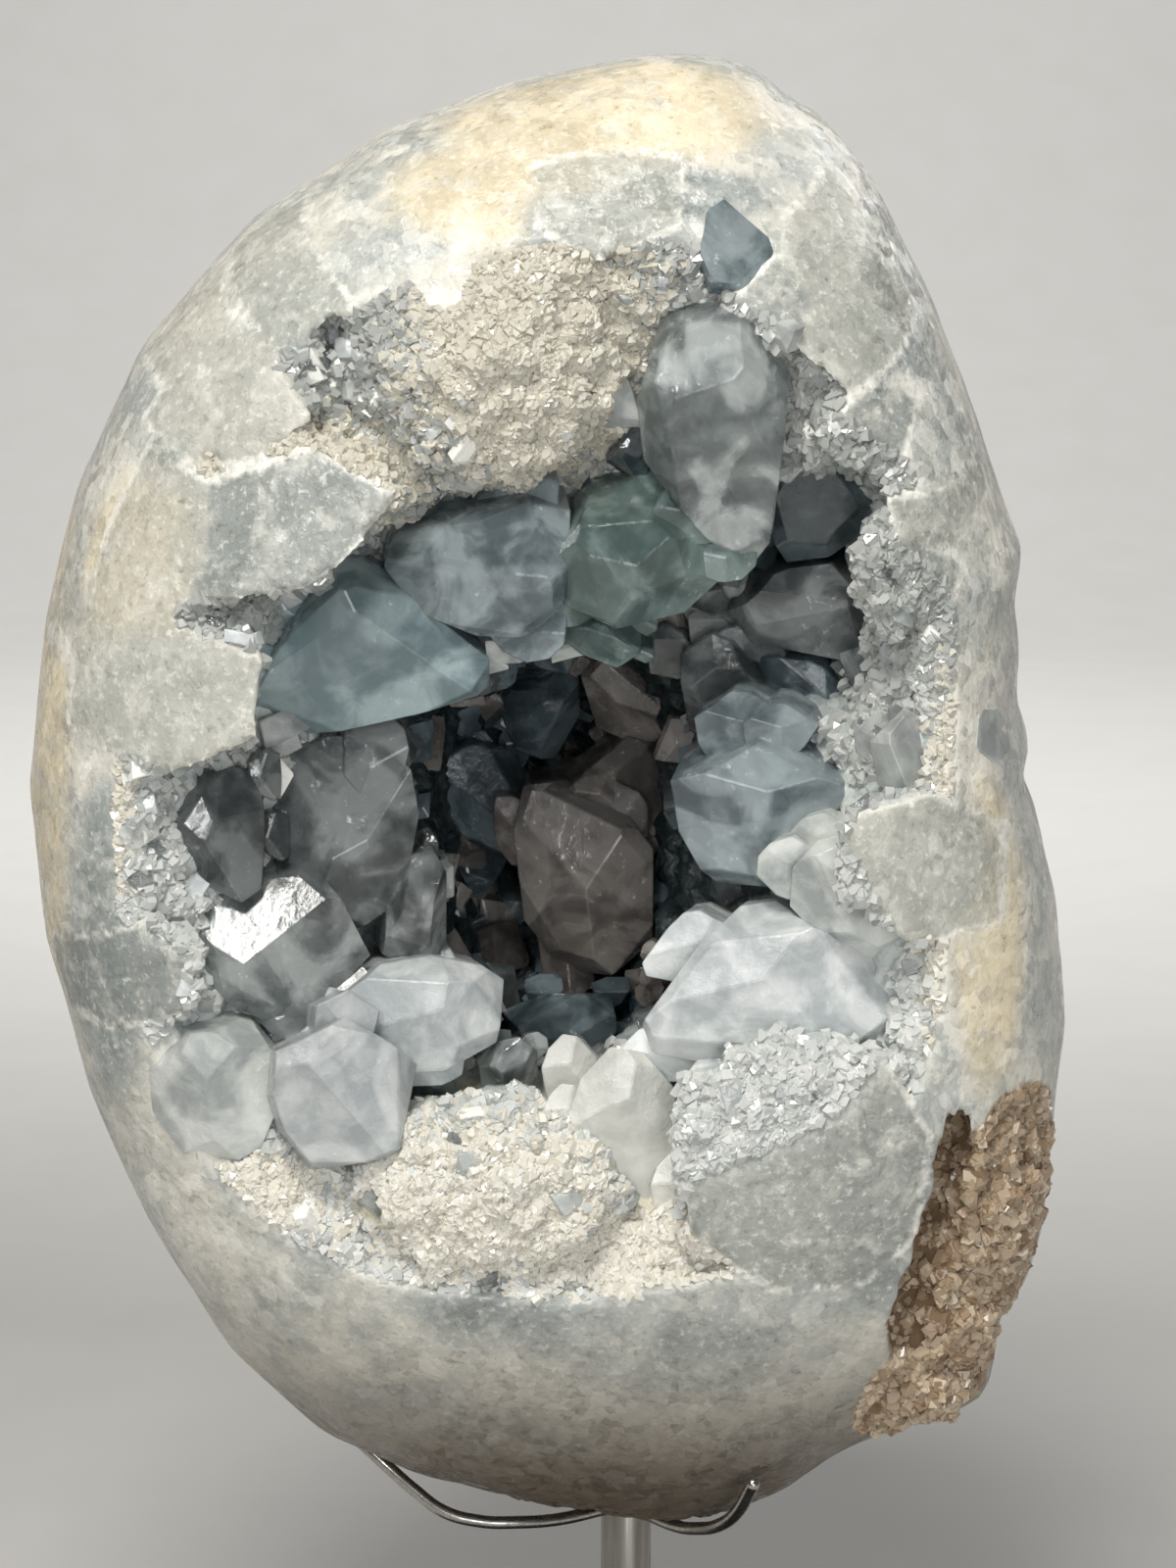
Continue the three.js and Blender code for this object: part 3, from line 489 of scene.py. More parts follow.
# %% Slabs in the rim
SLABS = [
    ("left_cream_slab", 0.6, -74, (-82, 196), 44,
     [(-97, 196), (-90.5, 204.5), (-77, 209.5), (-67, 206.5), (-68, 193), (-79, 184), (-95, 181.5)],
     [(0, 0, 0)]),
    ("left_clear_slab", 0.15, -74, (-57, 199), 40,
     [(-74.5, 206), (-54, 215.5), (-40, 209), (-37.5, 198.5), (-54, 193.5), (-64.5, 182),
      (-77, 185.5)],
     [(300, 6, 5)]),
    ("left_low_slab", 0.55, -74, (-80, 172), 44,
     [(-97, 179.5), (-79, 185.5), (-63.5, 181), (-65.5, 166.5), (-79, 158.5), (-94, 161.5)],
     [(0, 0, 0)]),
    ("left_small_clear", 0.1, -62, (-88, 122), 34,
     [(-98, 127), (-87, 133), (-79.5, 127.5), (-80.5, 116), (-92.5, 111), (-98, 116.5)],
     [(120, 20, 0), (300, 15, 0)]),
    ("lower_blue_slab", 0.3, -70, (33, 87), 40,
     [(9, 102), (25.5, 113), (46, 108), (53.5, 94), (50.5, 75), (41, 66), (24.5, 65), (11, 75.5)],
     [(100, 12, 2), (270, 6, 0)]),
    ("right_slab", 0.5, -66, (52, 143), 34,
     [(40, 153), (54, 156), (63.5, 147.5), (64.5, 131), (51, 128.5), (39.5, 140)],
     [(60, 14, 0), (240, 8, 0)]),
    ("roof_mid_slab", 0.45, -74, (-5, 252), 44,
     [(-19, 258.5), (-4, 262.5), (9.5, 256.5), (8, 246), (-6, 242.5), (-17, 246.5)],
     [(0, 0, 0)]),
    ("roof_right_slab", 0.5, -62, (38, 240), 38,
     [(25, 252.5), (37, 254.5), (46, 243.5), (51, 228.5), (38, 227), (28.5, 236.5)],
     [(60, 12, 0), (250, 10, 0)]),
    ("left_joint_slab", 0.55, -58, (-82, 183), 30,
     [(-99, 190), (-80, 192), (-70, 184), (-74, 175), (-98, 174)],
     [(0, 0, 0)]),
    ("roof_grey", 0.2, -58, (25, 246), 24,
     [(17.5, 246.5), (25.5, 251), (33.5, 247.5), (34.5, 241), (26.5, 236.5), (17.5, 240.5)],
     [(100, 20, 0), (290, 14, 0)]),
    ("stepped_right", 0.15, -58, (42, 223), 22,
     [(35, 221.5), (38, 226.5), (43.5, 229.5), (48, 226.5), (50.5, 222.5), (49, 217), (45.5, 211.5),
      (40, 214.5)],
     [(80, 22, 0), (280, 30, 0), (10, 26, 1)]),
    ("right_upper_violet", 0.25, -58, (50, 196), 24,
     [(42, 200), (45.5, 206.5), (51, 204), (59, 195.5), (58, 190), (52.5, 184.5), (46, 186),
      (42, 192)],
     [(60, 15, 0), (240, 12, 0), (330, 28, 2)]),
    ("right_upper_rim", 0.35, -60, (53, 204), 20,
     [(45.5, 210.5), (53, 208.5), (60, 205.5), (60.5, 200.5), (55, 198.5), (49, 202.5)],
     [(80, 20, 0), (260, 16, 0)]),
    ("upper_left_block", 0.4, -54, (-61, 243), 22,
     [(-68.5, 244.5), (-65, 249.5), (-57, 249.5), (-50.5, 246.5), (-53.5, 241), (-58, 235.5),
      (-63.5, 235), (-69, 239.5)],
     [(70, 14, 0), (240, 12, 0)]),
    ("upper_left_layered", 0.7, -52, (-71, 230), 22,
     [(-84.5, 232), (-77, 238.5), (-67, 238.5), (-58, 233.5), (-58, 229), (-70, 223), (-81, 218)],
     [(110, 14, 0), (300, 16, 0)]),
    ("upper_left_slab", 0.6, -70, (-72, 221), 44,
     [(-89.5, 222), (-76, 234.5), (-59.5, 228.5), (-54, 220.5), (-68, 211.5), (-84.5, 209)],
     [(0, 0, 0)]),
]


def slab(name, tone, *measures):
    block, _ = cut_crystal(name, *measures)
    grind(block)
    return block


print(len(SLABS), "slabs to join to the body")

# %% [markdown]
# ## Druse, broken matrix and the rough of the hollow
# Fine crystals coat the walls in cushions, and at one flank the wheel missed the rough brown matrix
# that the nodule grew in. Both are lumps: squashed balls with a noisy skin, given by their middle and
# their three radii. Bites are smaller ones that are cut away, where the rim has chipped.

# %% Lumps and bites
DRUSE_LUMPS = [(-27, -44, 234, 24, 15, 24), (-58, -42, 213, 24, 10, 12), (-26, -52, 81, 24, 11, 17)]
MATRIX_LUMPS = [(55, -28, 39, 12, 16, 10), (61, -30, 54, 11, 17, 15), (66, -31, 76, 12, 20, 19)]
BITES = [(58, -52, 89, 5, 7, 13), (57, -52, 72, 5, 7, 14), (53, -50, 55, 5, 7, 14),
         (-20, -56, 29, 5, 6, 4), (-52, -50, 236, 5, 6, 5)]


def cloud_texture(name, size, kind="CLOUDS"):
    texture = bpy.data.textures.new(name, kind)
    texture.noise_scale = size * MM
    return texture


lump_noise = cloud_texture("lump_noise", 7)
lump_noise.noise_depth = 3


def lump(x, y, z, radius_x, radius_y, radius_z, roughness=3):
    bpy.ops.object.select_all(action="DESELECT")
    bpy.ops.mesh.primitive_ico_sphere_add(subdivisions=5, radius=1)
    made = bpy.context.object
    centre = np.array((x, y, z + LIFT))
    move_to(made, (centre + places_of(made) * (radius_x, radius_y, radius_z)) * MM)
    modify(made, "DISPLACE", texture=lump_noise, texture_coords="LOCAL", strength=roughness * MM)
    return made


print(len(DRUSE_LUMPS + MATRIX_LUMPS), "lumps to join on and", len(BITES), "bites to cut away")

# %% [markdown]
# The order matters: the matrix is joined on before the hollow is cut, and the slabs after it, because
# their crystals grew into it. The whole is then meshed again in small even cells. So every lump runs
# into the egg with no seam, and the skin has points enough to be pushed in and out.

# %% Join, cut and mesh again
CELL = 1.2  # millimetres
stone = egg
for numbers in MATRIX_LUMPS:
    combine(stone, lump(*numbers), "UNION")
for form in (FLARE, HOLE, RECESS):
    combine(stone, rounded_body("hollow", form, segments=160, rings=120), "DIFFERENCE")
for numbers in SLABS:
    combine(stone, slab(*numbers), "UNION")
for numbers in BITES:
    combine(stone, lump(*numbers, roughness=2), "DIFFERENCE")
for numbers in DRUSE_LUMPS:
    combine(stone, lump(*numbers), "UNION")
stone.name = stone.data.name = "geode_body"
modify(stone, "REMESH", mode="VOXEL", voxel_size=CELL * MM)
print("body has", len(stone.data.polygons), "faces")

# %% [markdown]
# Each point of the new mesh is weighed: how much it belongs to the hollow, to the broken matrix or to
# the polished skin. A point of the hollow is one that lies well below the egg's own surface, and a
# point of the matrix one that lies near a lump of it.

# %% Weigh the points


def mouth_share(places):
    """0 at the hollow's middle, 1 at the rim of its mouth, seen from the front."""
    x = places[:, 0] / MM - HOLLOW_CENTRE[0]
    z = places[:, 2] / MM - LIFT - HOLLOW_CENTRE[1]
    return np.hypot(x, z) / reach_at(FLARE["detail"], np.arctan2(z, x))


def near_ball(places, ball):
    """1 at the middle of a squashed ball, fading to 0 past its surface."""
    x, y, h, *radii = ball
    away = (places / MM - (x, y, h + LIFT)) / radii
    return np.exp(-((away**2).sum(axis=1) ** 2))


def depth_under_skin(places):
    return np.array([egg_tree.find_nearest(place)[3] for place in places]) / MM


def weigh(obj, name, weights):
    group = obj.vertex_groups.new(name=name)
    for level in range(1, 11):
        picked = np.nonzero(np.round(weights * 10) == level)[0]
        group.add(picked.tolist(), level / 10, "REPLACE")


def shares(places):
    """The shares of hollow and of broken matrix at each point."""
    matrix = np.max([near_ball(places, (x, y - 4, h, 1.35 * a, 1.2 * b, 1.5 * c))
                     for x, y, h, a, b, c in MATRIX_LUMPS], axis=0)
    # the polish ends at a slanting line, 52 to 57 mm to the right at a height of 80 mm
    past_line = places[:, 0] / MM + 0.27 * (80 - places[:, 2] / MM + LIFT)
    matrix = ramp(0.2, 0.6, matrix) * ramp(52, 57, past_line)
    inside = ramp(1.2, 3.5, depth_under_skin(places)) * ramp(1.12, 1.04, mouth_share(places))
    return inside, matrix * (1 - inside)


places = places_of(stone)
inside, matrix = shares(places)
underside = near_ball(places, (-12, -20, 0, 40, 60, 12))
weigh(stone, "druse", inside)
weigh(stone, "matrix", np.maximum(matrix, 0.6 * underside))
weigh(stone, "skin", 1 - np.maximum(inside, matrix))
print("in the hollow:", int((inside > 0.5).sum()), "points; on the matrix:", int((matrix > 0.5).sum()))

# %% [markdown]
# Textures push each share its own way: flat cells for the druse, a coarse crumb for the matrix, and
# long low waves for the skin, which no wheel leaves quite even. Where the skin is smooth, it can then
# do with fewer and larger faces, which keeps the mesh light.

# %% Roughen
SKIN_KEPT = 0.56  # the share of all faces that is left
druse_cells = cloud_texture("druse_cells", 5, "VORONOI")
druse_cells.distance_metric = "MANHATTAN"
modify(stone, "DISPLACE", texture=druse_cells, texture_coords="LOCAL", strength=3 * MM, mid_level=0.4,
       vertex_group="druse")
matrix_crumb = cloud_texture("matrix_crumb", 4)
matrix_crumb.noise_depth = 4
modify(stone, "DISPLACE", texture=matrix_crumb, texture_coords="LOCAL", strength=6 * MM, mid_level=0.65,
       vertex_group="matrix")
skin_waves = cloud_texture("skin_waves", 22)
modify(stone, "DISPLACE", texture=skin_waves, texture_coords="LOCAL", strength=1.2 * MM,
       vertex_group="skin")
modify(stone, "DECIMATE", ratio=SKIN_KEPT, vertex_group="skin", vertex_group_factor=4)
stone.vertex_groups.clear()
bpy.ops.object.shade_smooth()
places = places_of(stone)
inside, matrix = shares(places)
print("the body ends with", sum(len(face.vertices) - 2 for face in stone.data.polygons), "triangles")

# %% [markdown]
# ## The large crystals
# The table gives for each crystal its sort, the depth of its tip, the tip's place across and in height,
# its length, its outline seen from the front, and its facets: the way that each faces, how far it
# leans back in degrees, and how far behind the tip it lies.

# %% The table of large crystals
CRYSTALS = [
    ("great_clear", "clear", -63, (12, 223), 34,
     [(2, 213), (1, 225), (5.5, 241), (12, 244), (23.5, 238), (28, 229.5), (26.5, 212), (25, 198),
      (20.5, 191), (15.5, 197)],
     [(115, 14, 0), (330, 30, 0), (215, 34, 0), (285, 26, 3)]),
    ("roof_blue", "blue", -60, (17, 255), 24,
     [(11, 248.5), (12.5, 257.5), (17, 260.5), (22, 259.5), (25, 251), (23.5, 245), (13.5, 244)],
     [(80, 35, 0), (250, 16, 0), (350, 28, 1)]),
    ("roof_dark", "deep", -52, (10, 246), 16,
     [(6, 245), (8.5, 248), (11, 249), (15, 246.5), (14, 243), (8.5, 243.5)],
     [(90, 25, 0), (270, 20, 0)]),
    ("bar_crystal", "deep", -42, (35, 214), 30,
     [(26.5, 216.5), (33, 219), (42.5, 214), (45, 209), (43.5, 200.5), (37, 196), (28.5, 194),
      (26, 201.5)],
     [(95, 36, 0), (255, 9, 0)]),
    ("right_mid_plate", "shaded_smoke", -34, (32, 188), 24,
     [(16.5, 187.5), (22.5, 191.5), (30.5, 194.5), (42, 196), (46.5, 173.5), (22.5, 179.5)],
     [(100, 10, 0), (255, 16, 0)]),
    ("right_mid_blue", "deep", -28, (36, 169), 22,
     [(23.5, 178), (35, 176), (43.5, 171.5), (44, 168.5), (42, 162.5), (34.5, 160.5), (27.5, 169)],
     [(50, 12, 0), (230, 18, 0)]),
    ("right_mid_grey", "shaded_smoke", -30, (21, 170), 22,
     [(9.5, 176), (16, 181), (24, 178), (29.5, 170.5), (34.5, 160.5), (21, 157.5), (10.5, 159.5)],
     [(140, 12, 0), (320, 16, 0), (250, 24, 2)]),
    ("right_frost_block", "ice", -52, (62, 163), 22,
     [(53.5, 159.5), (55.5, 166), (60, 170), (66.5, 169), (69.5, 164), (69, 158.5), (62, 154.5)],
     [(100, 14, 0), (270, 22, 0)]),
    ("right_frost_low", "ice", -58, (49, 163), 20,
     [(43.5, 164.5), (49, 170), (55.5, 166.5), (54, 158), (50, 153), (44.5, 156)],
     [(60, 16, 0), (240, 14, 0)]),
    ("right_big_upper", "blue", -48, (25, 154), 36,
     [(7.5, 156), (21, 165), (27.5, 164.5), (38.5, 158), (42.5, 152.5), (37, 144), (27.5, 135),
      (15.5, 135), (9, 145.5)],
     [(75, 26, 0), (250, 8, 0), (340, 16, 0)]),
    ("right_big_lower", "pale", -60, (24, 122), 38,
     [(2.5, 112.5), (12.5, 127), (19, 133.5), (25.5, 134.5), (48.5, 123), (50.5, 113.5),
      (40.5, 105), (18, 104), (4, 107)],
     [(110, 24, 0), (270, 9, 0), (20, 15, 0)]),
    ("right_outer", "ice", -59, (42, 138), 28,
     [(30, 141.5), (34.5, 146.5), (42, 148.5), (49.5, 144.5), (53, 138), (53, 128.5), (48, 122.5),
      (36.5, 126.5), (29, 134)],
     [(60, 18, 0), (230, 12, 0), (330, 18, 1)]),
    ("floor_frost", "frost", -62, (4, 93), 28,
     [(-11.5, 95), (-9, 102.5), (-3.5, 108.5), (2.5, 107.5), (9, 99.5), (11.5, 85), (11, 81),
      (2.5, 77.5), (-4, 76.5), (-10, 82.5)],
     [(120, 12, 0), (0, 40, 4), (265, 24, 3)]),
    ("button", "ice", -62, (-75, 99), 26,
     [(-87.5, 106.5), (-83.5, 112.5), (-77, 115), (-68.5, 112.5), (-64, 106.5), (-64, 96.5),
      (-67, 89.5), (-73, 86), (-81.5, 88), (-87, 95.5)],
     [(95, 16, 0), (265, 26, 0), (190, 22, 1), (0, 18, 1)]),
    ("left_low_block", "pale", -54, (-34, 115), 32,
     [(-62.5, 107), (-56.5, 113.5), (-45.5, 122), (-36, 123.5), (-26.5, 121.5), (-22, 118.5),
      (-24, 107), (-34.5, 102), (-55, 101)],
     [(135, 12, 0), (0, 36, 0), (265, 16, 0)]),
    ("left_low_small", "clear", -48, (-21, 102), 20,
     [(-28, 102.5), (-25, 106), (-20.5, 107), (-17, 104.5), (-16.5, 99.5), (-20.5, 95.5),
      (-27, 96.5)],
     [(90, 24, 0), (270, 20, 0)]),
    ("left_striated", "shaded_smoke", -56, (-74, 147), 28,
     [(-83, 154), (-76.5, 159.5), (-66, 157.5), (-65.5, 145.5), (-66.5, 136), (-71, 134),
      (-77.5, 137.5), (-83, 147.5)],
     [(100, 14, 0), (280, 12, 0), (10, 26, 1)]),
    ("left_smooth", "shaded_smoke", -45, (-52, 147), 32,
     [(-65.5, 158.5), (-55, 162.5), (-45.5, 162), (-40, 156.5), (-38.5, 148), (-42, 131.5),
      (-51, 126), (-61.5, 130.5), (-67, 137.5)],
     [(160, 8, 0), (340, 14, 0), (90, 20, 2)]),
    ("mirror", "clear", -56, (-70, 122), 32,
     [(-86.5, 132.5), (-75, 138), (-62, 142), (-54.5, 139), (-45.5, 123.5), (-55, 114),
      (-64.5, 111), (-73.5, 115), (-83, 126.5)],
     [(99, 34, 0), (250, 22, 0), (345, 20, 0), (180, 24, 1)]),
    ("left_post", "clear", -44, (-37, 137), 26,
     [(-45, 130.5), (-41, 140.5), (-36.5, 142), (-34, 137.5), (-33.5, 121), (-40, 119), (-46, 122)],
     [(80, 34, 0), (265, 7, 0)]),
    ("teal_block", "teal", -50, (-47, 182), 40,
     [(-68, 174.5), (-61.5, 184.5), (-50.5, 196), (-43, 192), (-24.5, 176), (-24, 170), (-64, 160),
      (-68.5, 165)],
     [(205, 12, 0), (25, 30, 0), (275, 22, 2)]),
    ("roof_pale", "blue", -54, (-26, 195), 34,
     [(-44, 192.5), (-42, 198), (-33.5, 203), (-19, 207.5), (-10.5, 204.5), (-12, 190),
      (-18, 183.5), (-27.5, 181.5), (-37.5, 184.5)],
     [(80, 16, 0), (270, 14, 0), (190, 22, 2)]),
    ("roof_strip", "ice", -44, (-17, 181), 26,
     [(-26, 175.5), (-26.5, 181), (-15.5, 186.5), (-10, 180.5), (-10, 179)],
     [(100, 24, 0), (290, 40, 1)]),
    ("green_block", "green", -54, (1, 196), 36,
     [(-13, 189), (-13, 199), (-8, 205.5), (3, 208.5), (11.5, 205.5), (16.5, 196.5), (16, 190.5),
      (9.5, 184.5), (-2.5, 185)],
     [(80, 18, 0), (255, 10, 0), (340, 26, 0)]),
    ("green_tip", "green", -48, (-5, 182), 26,
     [(-17, 187), (-10, 187.5), (2, 184.5), (2, 179), (-2.5, 175.5), (-9, 178.5)],
     [(60, 14, 0), (250, 18, 0)]),
    ("hollow_red", "brown", 2, (1, 166), 30,
     [(-10, 172.5), (4, 179), (10, 169.5), (10.5, 156.5), (2, 153), (-6, 156.5)],
     [(60, 16, 0), (220, 14, 0)]),
    ("hollow_knot", "brown", -6, (-1, 146), 26,
     [(-14, 145), (-8, 150), (0, 155), (7, 153), (9, 146), (7, 136.5), (-2, 135.5), (-12, 136.5)],
     [(90, 24, 0), (270, 20, 0), (0, 30, 1)]),
    ("hollow_main", "brown", -14, (-8, 129), 30,
     [(-22, 139.5), (-20, 148), (-12, 148.5), (0, 142.5), (5, 135.5), (5, 117), (-3, 111),
      (-12, 111), (-20, 121)],
     [(100, 14, 0), (350, 24, 0), (200, 28, 0)]),
    ("hollow_left", "deep", 4, (-30, 144), 26,
     [(-40, 152), (-30, 154), (-23, 152), (-18, 145), (-23, 129.5), (-33, 134), (-39, 140)],
     [(60, 14, 0), (230, 14, 0)]),
    ("hollow_back", "deep", 12, (-16, 161), 20,
     [(-20, 173.5), (-10, 173.5), (-9, 157.5), (-14, 148), (-22, 151), (-26, 161.5)],
     [(100, 16, 0), (280, 14, 0)]),
    ("hollow_low", "deep", -24, (-13, 102), 20,
     [(-25.5, 105.5), (-16, 109.5), (-3, 109.5), (-2, 102.5), (-8, 93), (-17, 90), (-22.5, 95.5)],
     [(90, 22, 0), (270, 18, 0)]),
    ("hollow_pebble", "brown", -34, (5, 117), 16,
     [(2, 114.5), (3.5, 119.5), (7.5, 121.5), (10.5, 118.5), (8.5, 113.5), (4.5, 111.5)],
     [(90, 25, 0), (270, 20, 0)]),
    ("hollow_right", "deep", -8, (11, 129), 26,
     [(6, 136), (10, 142), (16, 136), (18, 124), (13, 116), (5, 114), (4, 124)],
     [(160, 20, 0), (340, 20, 0)]),
    ("mid_dark_small", "deep", -53, (-36, 215), 16,
     [(-40, 214.5), (-37.5, 218.5), (-33.5, 217), (-33.5, 213.5), (-38.5, 211)],
     [(90, 24, 0), (270, 20, 0)]),
    ("floor_small", "clear", -62, (-45, 78), 16,
     [(-50.5, 78), (-48, 82), (-42.5, 82), (-40.5, 77), (-45.5, 73)],
     [(90, 20, 0), (270, 20, 0)]),
    ("floor_rhomb", "frost", -64, (24, 82), 14,
     [(20.5, 81.5), (23.5, 85.5), (27, 82), (24.5, 78.5)],
     [(60, 16, 0), (240, 16, 0)]),
    ("low_left_blue", "pale", -63, (-52, 100), 34,
     [(-65, 108), (-51.5, 114.5), (-38, 105.5), (-43, 88.5), (-57.5, 85.5), (-66, 96.5)],
     [(20, 14, 0), (240, 12, 0)]),
]
print(len(CRYSTALS), "large crystals to cut")

# %% [markdown]
# No crystal has all its corners: some broke off as it grew against its neighbours, others later. A
# crystal also grows in step with smaller ones on its flanks, whose faces stay parallel to its own, so
# shrunken copies of it are joined on. Where one would stand out past the egg's skin, it is cut again
# with straighter sides, gets no copies, and is ground flush.

# %% Chip, copy and grind
CHIP_LEANS = 25, 75  # degrees back from the front
CHIP_DEPTHS = 0.8, 4  # millimetres
LAMP_DIRECTION, LAMP_LEAN = 98, 42  # a face turned this way mirrors the key lamp to the camera


def chip(block, count, random):
    """Breaks corners off the front, one on each side, by planes just under the surface. A break
    that would mirror the lamp to the camera leans further, so that it doesn't glare."""
    planes = []
    for i in range(count):
        direction = 360 / count * (i + random.uniform(-0.4, 0.4))
        lean = random.uniform(*CHIP_LEANS)
        if abs(direction - LAMP_DIRECTION) < 50 and abs(lean - LAMP_LEAN) < 16:
            lean += 28
        normal = facet_normal(direction, lean)
        support = max(normal.dot(v.co) for v in block.data.vertices) / MM
        planes.append(((support - random.uniform(*CHIP_DEPTHS)) * normal, normal))
    only(block)
    slice_off(planes)


def parallel_copy(block, peak, outline, front, random):
    """A smaller copy that stands on a flank of the crystal with its faces parallel to the first's."""
    corner = outline[int(random.integers(len(outline)))]
    out = random.uniform(0.85, 1.05)
    spot = np.array((peak[0] + out * (corner[0] - peak[0]), front + random.uniform(4, 10),
                     peak[1] + out * (corner[1] - peak[1]) + LIFT))
    tip = np.array((peak[0], front, peak[1] + LIFT))
    bpy.ops.object.select_all(action="DESELECT")
    small = block.copy()
    small.data = block.data.copy()
    bpy.context.collection.objects.link(small)
    move_to(small, ((places_of(block) / MM - tip) * random.uniform(0.3, 0.5) + spot) * MM)
    return small


def stands_proud(block):
    """Whether any corner of it lies in front of the egg's surface."""
    for vertex in block.data.vertices:
        start = Vector((vertex.co.x, IN_FRONT * MM, vertex.co.z))
        hit = egg_tree.ray_cast(start, BACKWARDS)[0]
        if hit is None or vertex.co.y < hit.y:
            return True
    return False


print("a chip takes off up to", CHIP_DEPTHS[1], "mm")

# %% [markdown]
# A bevel a quarter of a millimetre wide takes the edges off, because a worn edge that catches the
# light is what makes a crystal look hard. Each crystal also keeps a tone of its own, drawn at random,
# and a painted glow is added to it that grows towards its foot, where gathered light would leave it.

# %% Cut the large crystals
COPIES, CHIPS, WORN_EDGE = 3, 7, 0.25
STRAIGHTER = 0.001
random = np.random.default_rng(4)
solids = {}
by_kind = {}
ground = 0
for name, kind, front, peak, length, outline, facets in CRYSTALS:
    measures = front, peak, length, outline, facets
    crystal, planes = cut_crystal(name, *measures)
    copies = []
    if stands_proud(crystal):
        bpy.data.objects.remove(crystal)
        crystal, planes = cut_crystal(name, *measures, spread=STRAIGHTER)
    else:
        copies = [parallel_copy(crystal, peak, outline, front, random) for _ in range(COPIES)]
    solids[name] = (front, outline, planes)
    chip(crystal, CHIPS, random)
    for block in [crystal] + copies:
        bevel_edges(block, WORN_EDGE * MM)
    for block in copies:
        combine(crystal, block, "UNION")
    if stands_proud(crystal):
        grind(crystal, grow=0.3)
        ground += 1
    # painted glow: the tone, which lightens the crystal's colour, rises towards its foot
    heights = places_of(crystal)[:, 2]
    lowness = (heights.max() - heights) / (heights.max() - heights.min())
    mark(crystal, "tone", np.clip(random.uniform(0.1, 0.9) + 0.6 * (lowness - 0.5), 0, 1))
    by_kind.setdefault(kind, []).append(crystal)
print(len(CRYSTALS), "large crystals,", ground, "of them ground flush with the egg")

# %% [markdown]
# ## Small crystals and sugar
# Between the large crystals stand hundreds of smaller ones, and over the druse lies a sugar of tiny
# blocks. Modelling each would take for ever and look no better, so a few shapes are cut once, by
# planes as the large ones are, and copied. A shape is cut at 50 mm and kept as points and faces of a
# shape 1 wide.

# %% Shapes to copy
PATTERN_SIZE = 50


def pattern(planes, bevel=0.0):
    """Cuts a shape 1 unit wide and returns its points and its faces."""
    planes = [(Vector(point) * PATTERN_SIZE, Vector(normal).normalized()) for point, normal in planes]
    block = cut_from_block("pattern", planes, (0, 0, 0))
    if bevel:
        bevel_edges(block, bevel * PATTERN_SIZE * MM)
    points = places_of(block) / (PATTERN_SIZE * MM)
    faces = [tuple(face.vertices) for face in block.data.polygons]
    bpy.data.objects.remove(block)
    return points, faces


def prism(thickness, lean_a, lean_b, shoulder, skew, bevel=0.03):
    """A flat prism with a chisel point at the height 1 and its root at -0.6."""
    half = thickness / 2
    return pattern([
        ((0.5, 0, 0), (1, 0, 0)), ((-0.5, 0, 0), (-1, 0, 0)),
        ((0, half, 0), (skew, 1, 0)), ((0, -half, 0), (-skew, -1, 0)),
        ((0, 0, -0.6), (0, 0, -1)),
        ((0.05, 0, 1), (math.sin(lean_a), 0, math.cos(lean_a))),
        ((0.05, 0, 1), (-math.sin(lean_b), 0, math.cos(lean_b))),
        ((0, 0.8 * half, shoulder), (0, 1, 0.6)),
        ((0, -0.8 * half, shoulder + 0.05), (0, -1, 0.7)),
    ], bevel)


def grain(corner, tilt):
    """A sugar grain: a skewed block with two corners gone."""
    return pattern([
        ((0.5, 0, 0), (1, 0, tilt)), ((-0.5, 0, 0), (-1, 0, -tilt)),
        ((0, 0.4, 0), (tilt, 1, 0)), ((0, -0.4, 0), (-tilt, -1, 0)),
        ((0, 0, 0.5), (0, tilt, 1)), ((0, 0, -0.5), (0, 0, -1)),
        ((corner, corner, corner), (1, 1, 1)), ((-corner, 0, corner), (-1, 0.4, 1)),
    ])


prisms = [prism(*shape) for shape in (
    (0.8, 0.7, 0.9, 0.8, 0.1), (0.55, 0.9, 0.6, 0.75, -0.2), (1, 0.6, 0.6, 0.7, 0.25),
    (0.7, 1.0, 0.35, 0.9, 0), (0.45, 0.8, 0.8, 0.85, 0.3))]
grains = [grain(0.3, 0.1), grain(0.25, -0.2), grain(0.33, 0.25)]
print("a prism has", len(prisms[0][1]), "faces, a grain", len(grains[0][1]))

# %% [markdown]
# All copies of a kind are one mesh. Each is turned so that it grows its own way, spun about that
# direction, made as wide and as long as it should be, and moved to its place.

# %% Copies as one mesh


def scatter(name, patterns, spots):
    """A spot is (which pattern, place, growth, turn, width, length, tone), in metres."""
    points, faces, tones, start = [], [], [], 0
    for which, place, growth, turn, width, length, tone in spots:
        shape, sides = patterns[which]
        side = growth.orthogonal().normalized()
        flank = growth.cross(side)
        across = side * math.cos(turn) + flank * math.sin(turn)
        along = growth.cross(across)
        frame_of_copy = np.array([across * width, along * width, growth * length])
        points.append(shape @ frame_of_copy + np.array(place))
        faces += [tuple(corner + start for corner in face) for face in sides]
        tones.append(np.full(len(shape), tone))
        start += len(shape)
    mesh = bpy.data.meshes.new(name)
    mesh.from_pydata(np.concatenate(points).tolist(), [], faces)
    made = bpy.data.objects.new(name, mesh)
    bpy.context.collection.objects.link(made)
    mark(made, "tone", np.concatenate(tones))
    return made


# %% [markdown]
# The wall is asked for a place by a line from the front, as if a crystal were thrown at it. Where it
# may stick depends on what is there: no copy stands inside a large crystal or out through the ground
# skin, and sugar gathers in cushions, given by their middle and their two radii.

